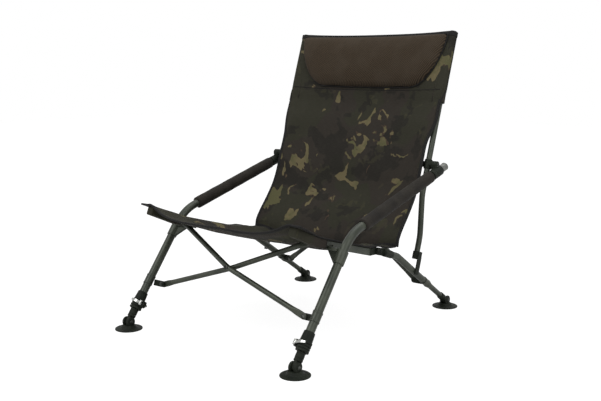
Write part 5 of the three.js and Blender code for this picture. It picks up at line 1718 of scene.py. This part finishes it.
def make_room():
    mesh = bpy.data.meshes.new("floor")
    mesh.from_pydata([(x, y, 0) for x, y in oblong(FLOOR_HALF, FLOOR_HALF)], [], [(0, 1, 2, 3)])
    floor = placed("floor", mesh)
    recipe = Recipe("pale_floor", Roughness=0.9)
    faint = recipe.noise(recipe.place(), 3, 2)
    recipe.feed(recipe.shader.inputs["Base Color"], recipe.mix(faint, FLOOR_DARK, FLOOR_LIGHT))
    glow = recipe.add("ShaderNodeEmission")
    glow.inputs["Color"].default_value = (1, 1, 1, 1)
    glow.inputs["Strength"].default_value = FLOOR_GLOW
    path = recipe.add("ShaderNodeLightPath")
    share = recipe.maths("MULTIPLY", path.outputs["Is Camera Ray"], FLOOR_GLOW_SHARE)
    blend = recipe.add("ShaderNodeMixShader")
    for socket, source in zip(blend.inputs, (share, recipe.shader.outputs[0], glow.outputs[0])):
        recipe.feed(socket, source)
    recipe.feed(recipe.tree.nodes["Material Output"].inputs["Surface"], blend.outputs[0])
    mesh.materials.append(recipe.material)

    world = bpy.data.worlds.new("studio")
    bpy.context.scene.world = world
    world.use_nodes = True
    tree = world.node_tree
    background = tree.nodes["Background"]
    background.inputs["Color"].default_value = (1, 1, 1, 1)
    path = tree.nodes.new("ShaderNodeLightPath")
    seen = path.outputs["Is Camera Ray"]
    for ray in ("Is Glossy Ray", "Is Transmission Ray"):
        either = tree.nodes.new("ShaderNodeMath")
        either.operation = "MAXIMUM"
        tree.links.new(seen, either.inputs[0])
        tree.links.new(path.outputs[ray], either.inputs[1])
        seen = either.outputs[0]
    level = tree.nodes.new("ShaderNodeMapRange")
    level.inputs["To Min"].default_value = ROOM_LIGHT
    level.inputs["To Max"].default_value = ROOM_SEEN
    tree.links.new(seen, level.inputs["Value"])
    tree.links.new(level.outputs["Result"], background.inputs["Strength"])


def aimed(item, place, aim):
    item.location = place
    item.rotation_euler = (Vector(aim) - Vector(place)).to_track_quat("-Z", "Y").to_euler()


def lamp(name, place, aim, size, power):
    light = bpy.data.lights.new(name, "AREA")
    light.shape = "RECTANGLE"
    light.size, light.size_y = size
    light.energy = power
    aimed(placed(name, light), place, aim)


def make_lights():
    lamp("key_light", (-0.6, -2.4, 2.6), (0, 0, 0.35), (1.8, 1.4), 42)
    lamp("fill_light", (2.6, -0.6, 1.8), (0, 0, 0.35), (1.8, 1.8), 22)
    lamp("top_light", (0.2, 0.6, 3.0), (0, 0, 0.3), (2.2, 2.2), 30)


CAMERA_PLACE = Vector((1.4881, -1.8369, 0.6954))
CAMERA_AIM = Vector((0.0, 0.0129, 0.3299))
CAMERA_LENS, CAMERA_SENSOR = 52.38, 36


def make_camera():
    data = bpy.data.cameras.new("camera")
    data.lens = CAMERA_LENS
    data.sensor_width = CAMERA_SENSOR
    data.sensor_fit = "HORIZONTAL"
    camera = placed("camera", data)
    aimed(camera, CAMERA_PLACE, CAMERA_AIM)
    bpy.context.scene.camera = camera


bpy.context.scene.view_settings.view_transform = "Standard"
for build in (make_camera, make_tubes, make_braces, make_arm, make_clamp, make_feet, make_brackets,
              make_mouldings, make_seat, make_rail_socks, make_back, make_headrest, make_room, make_lights):
    build()
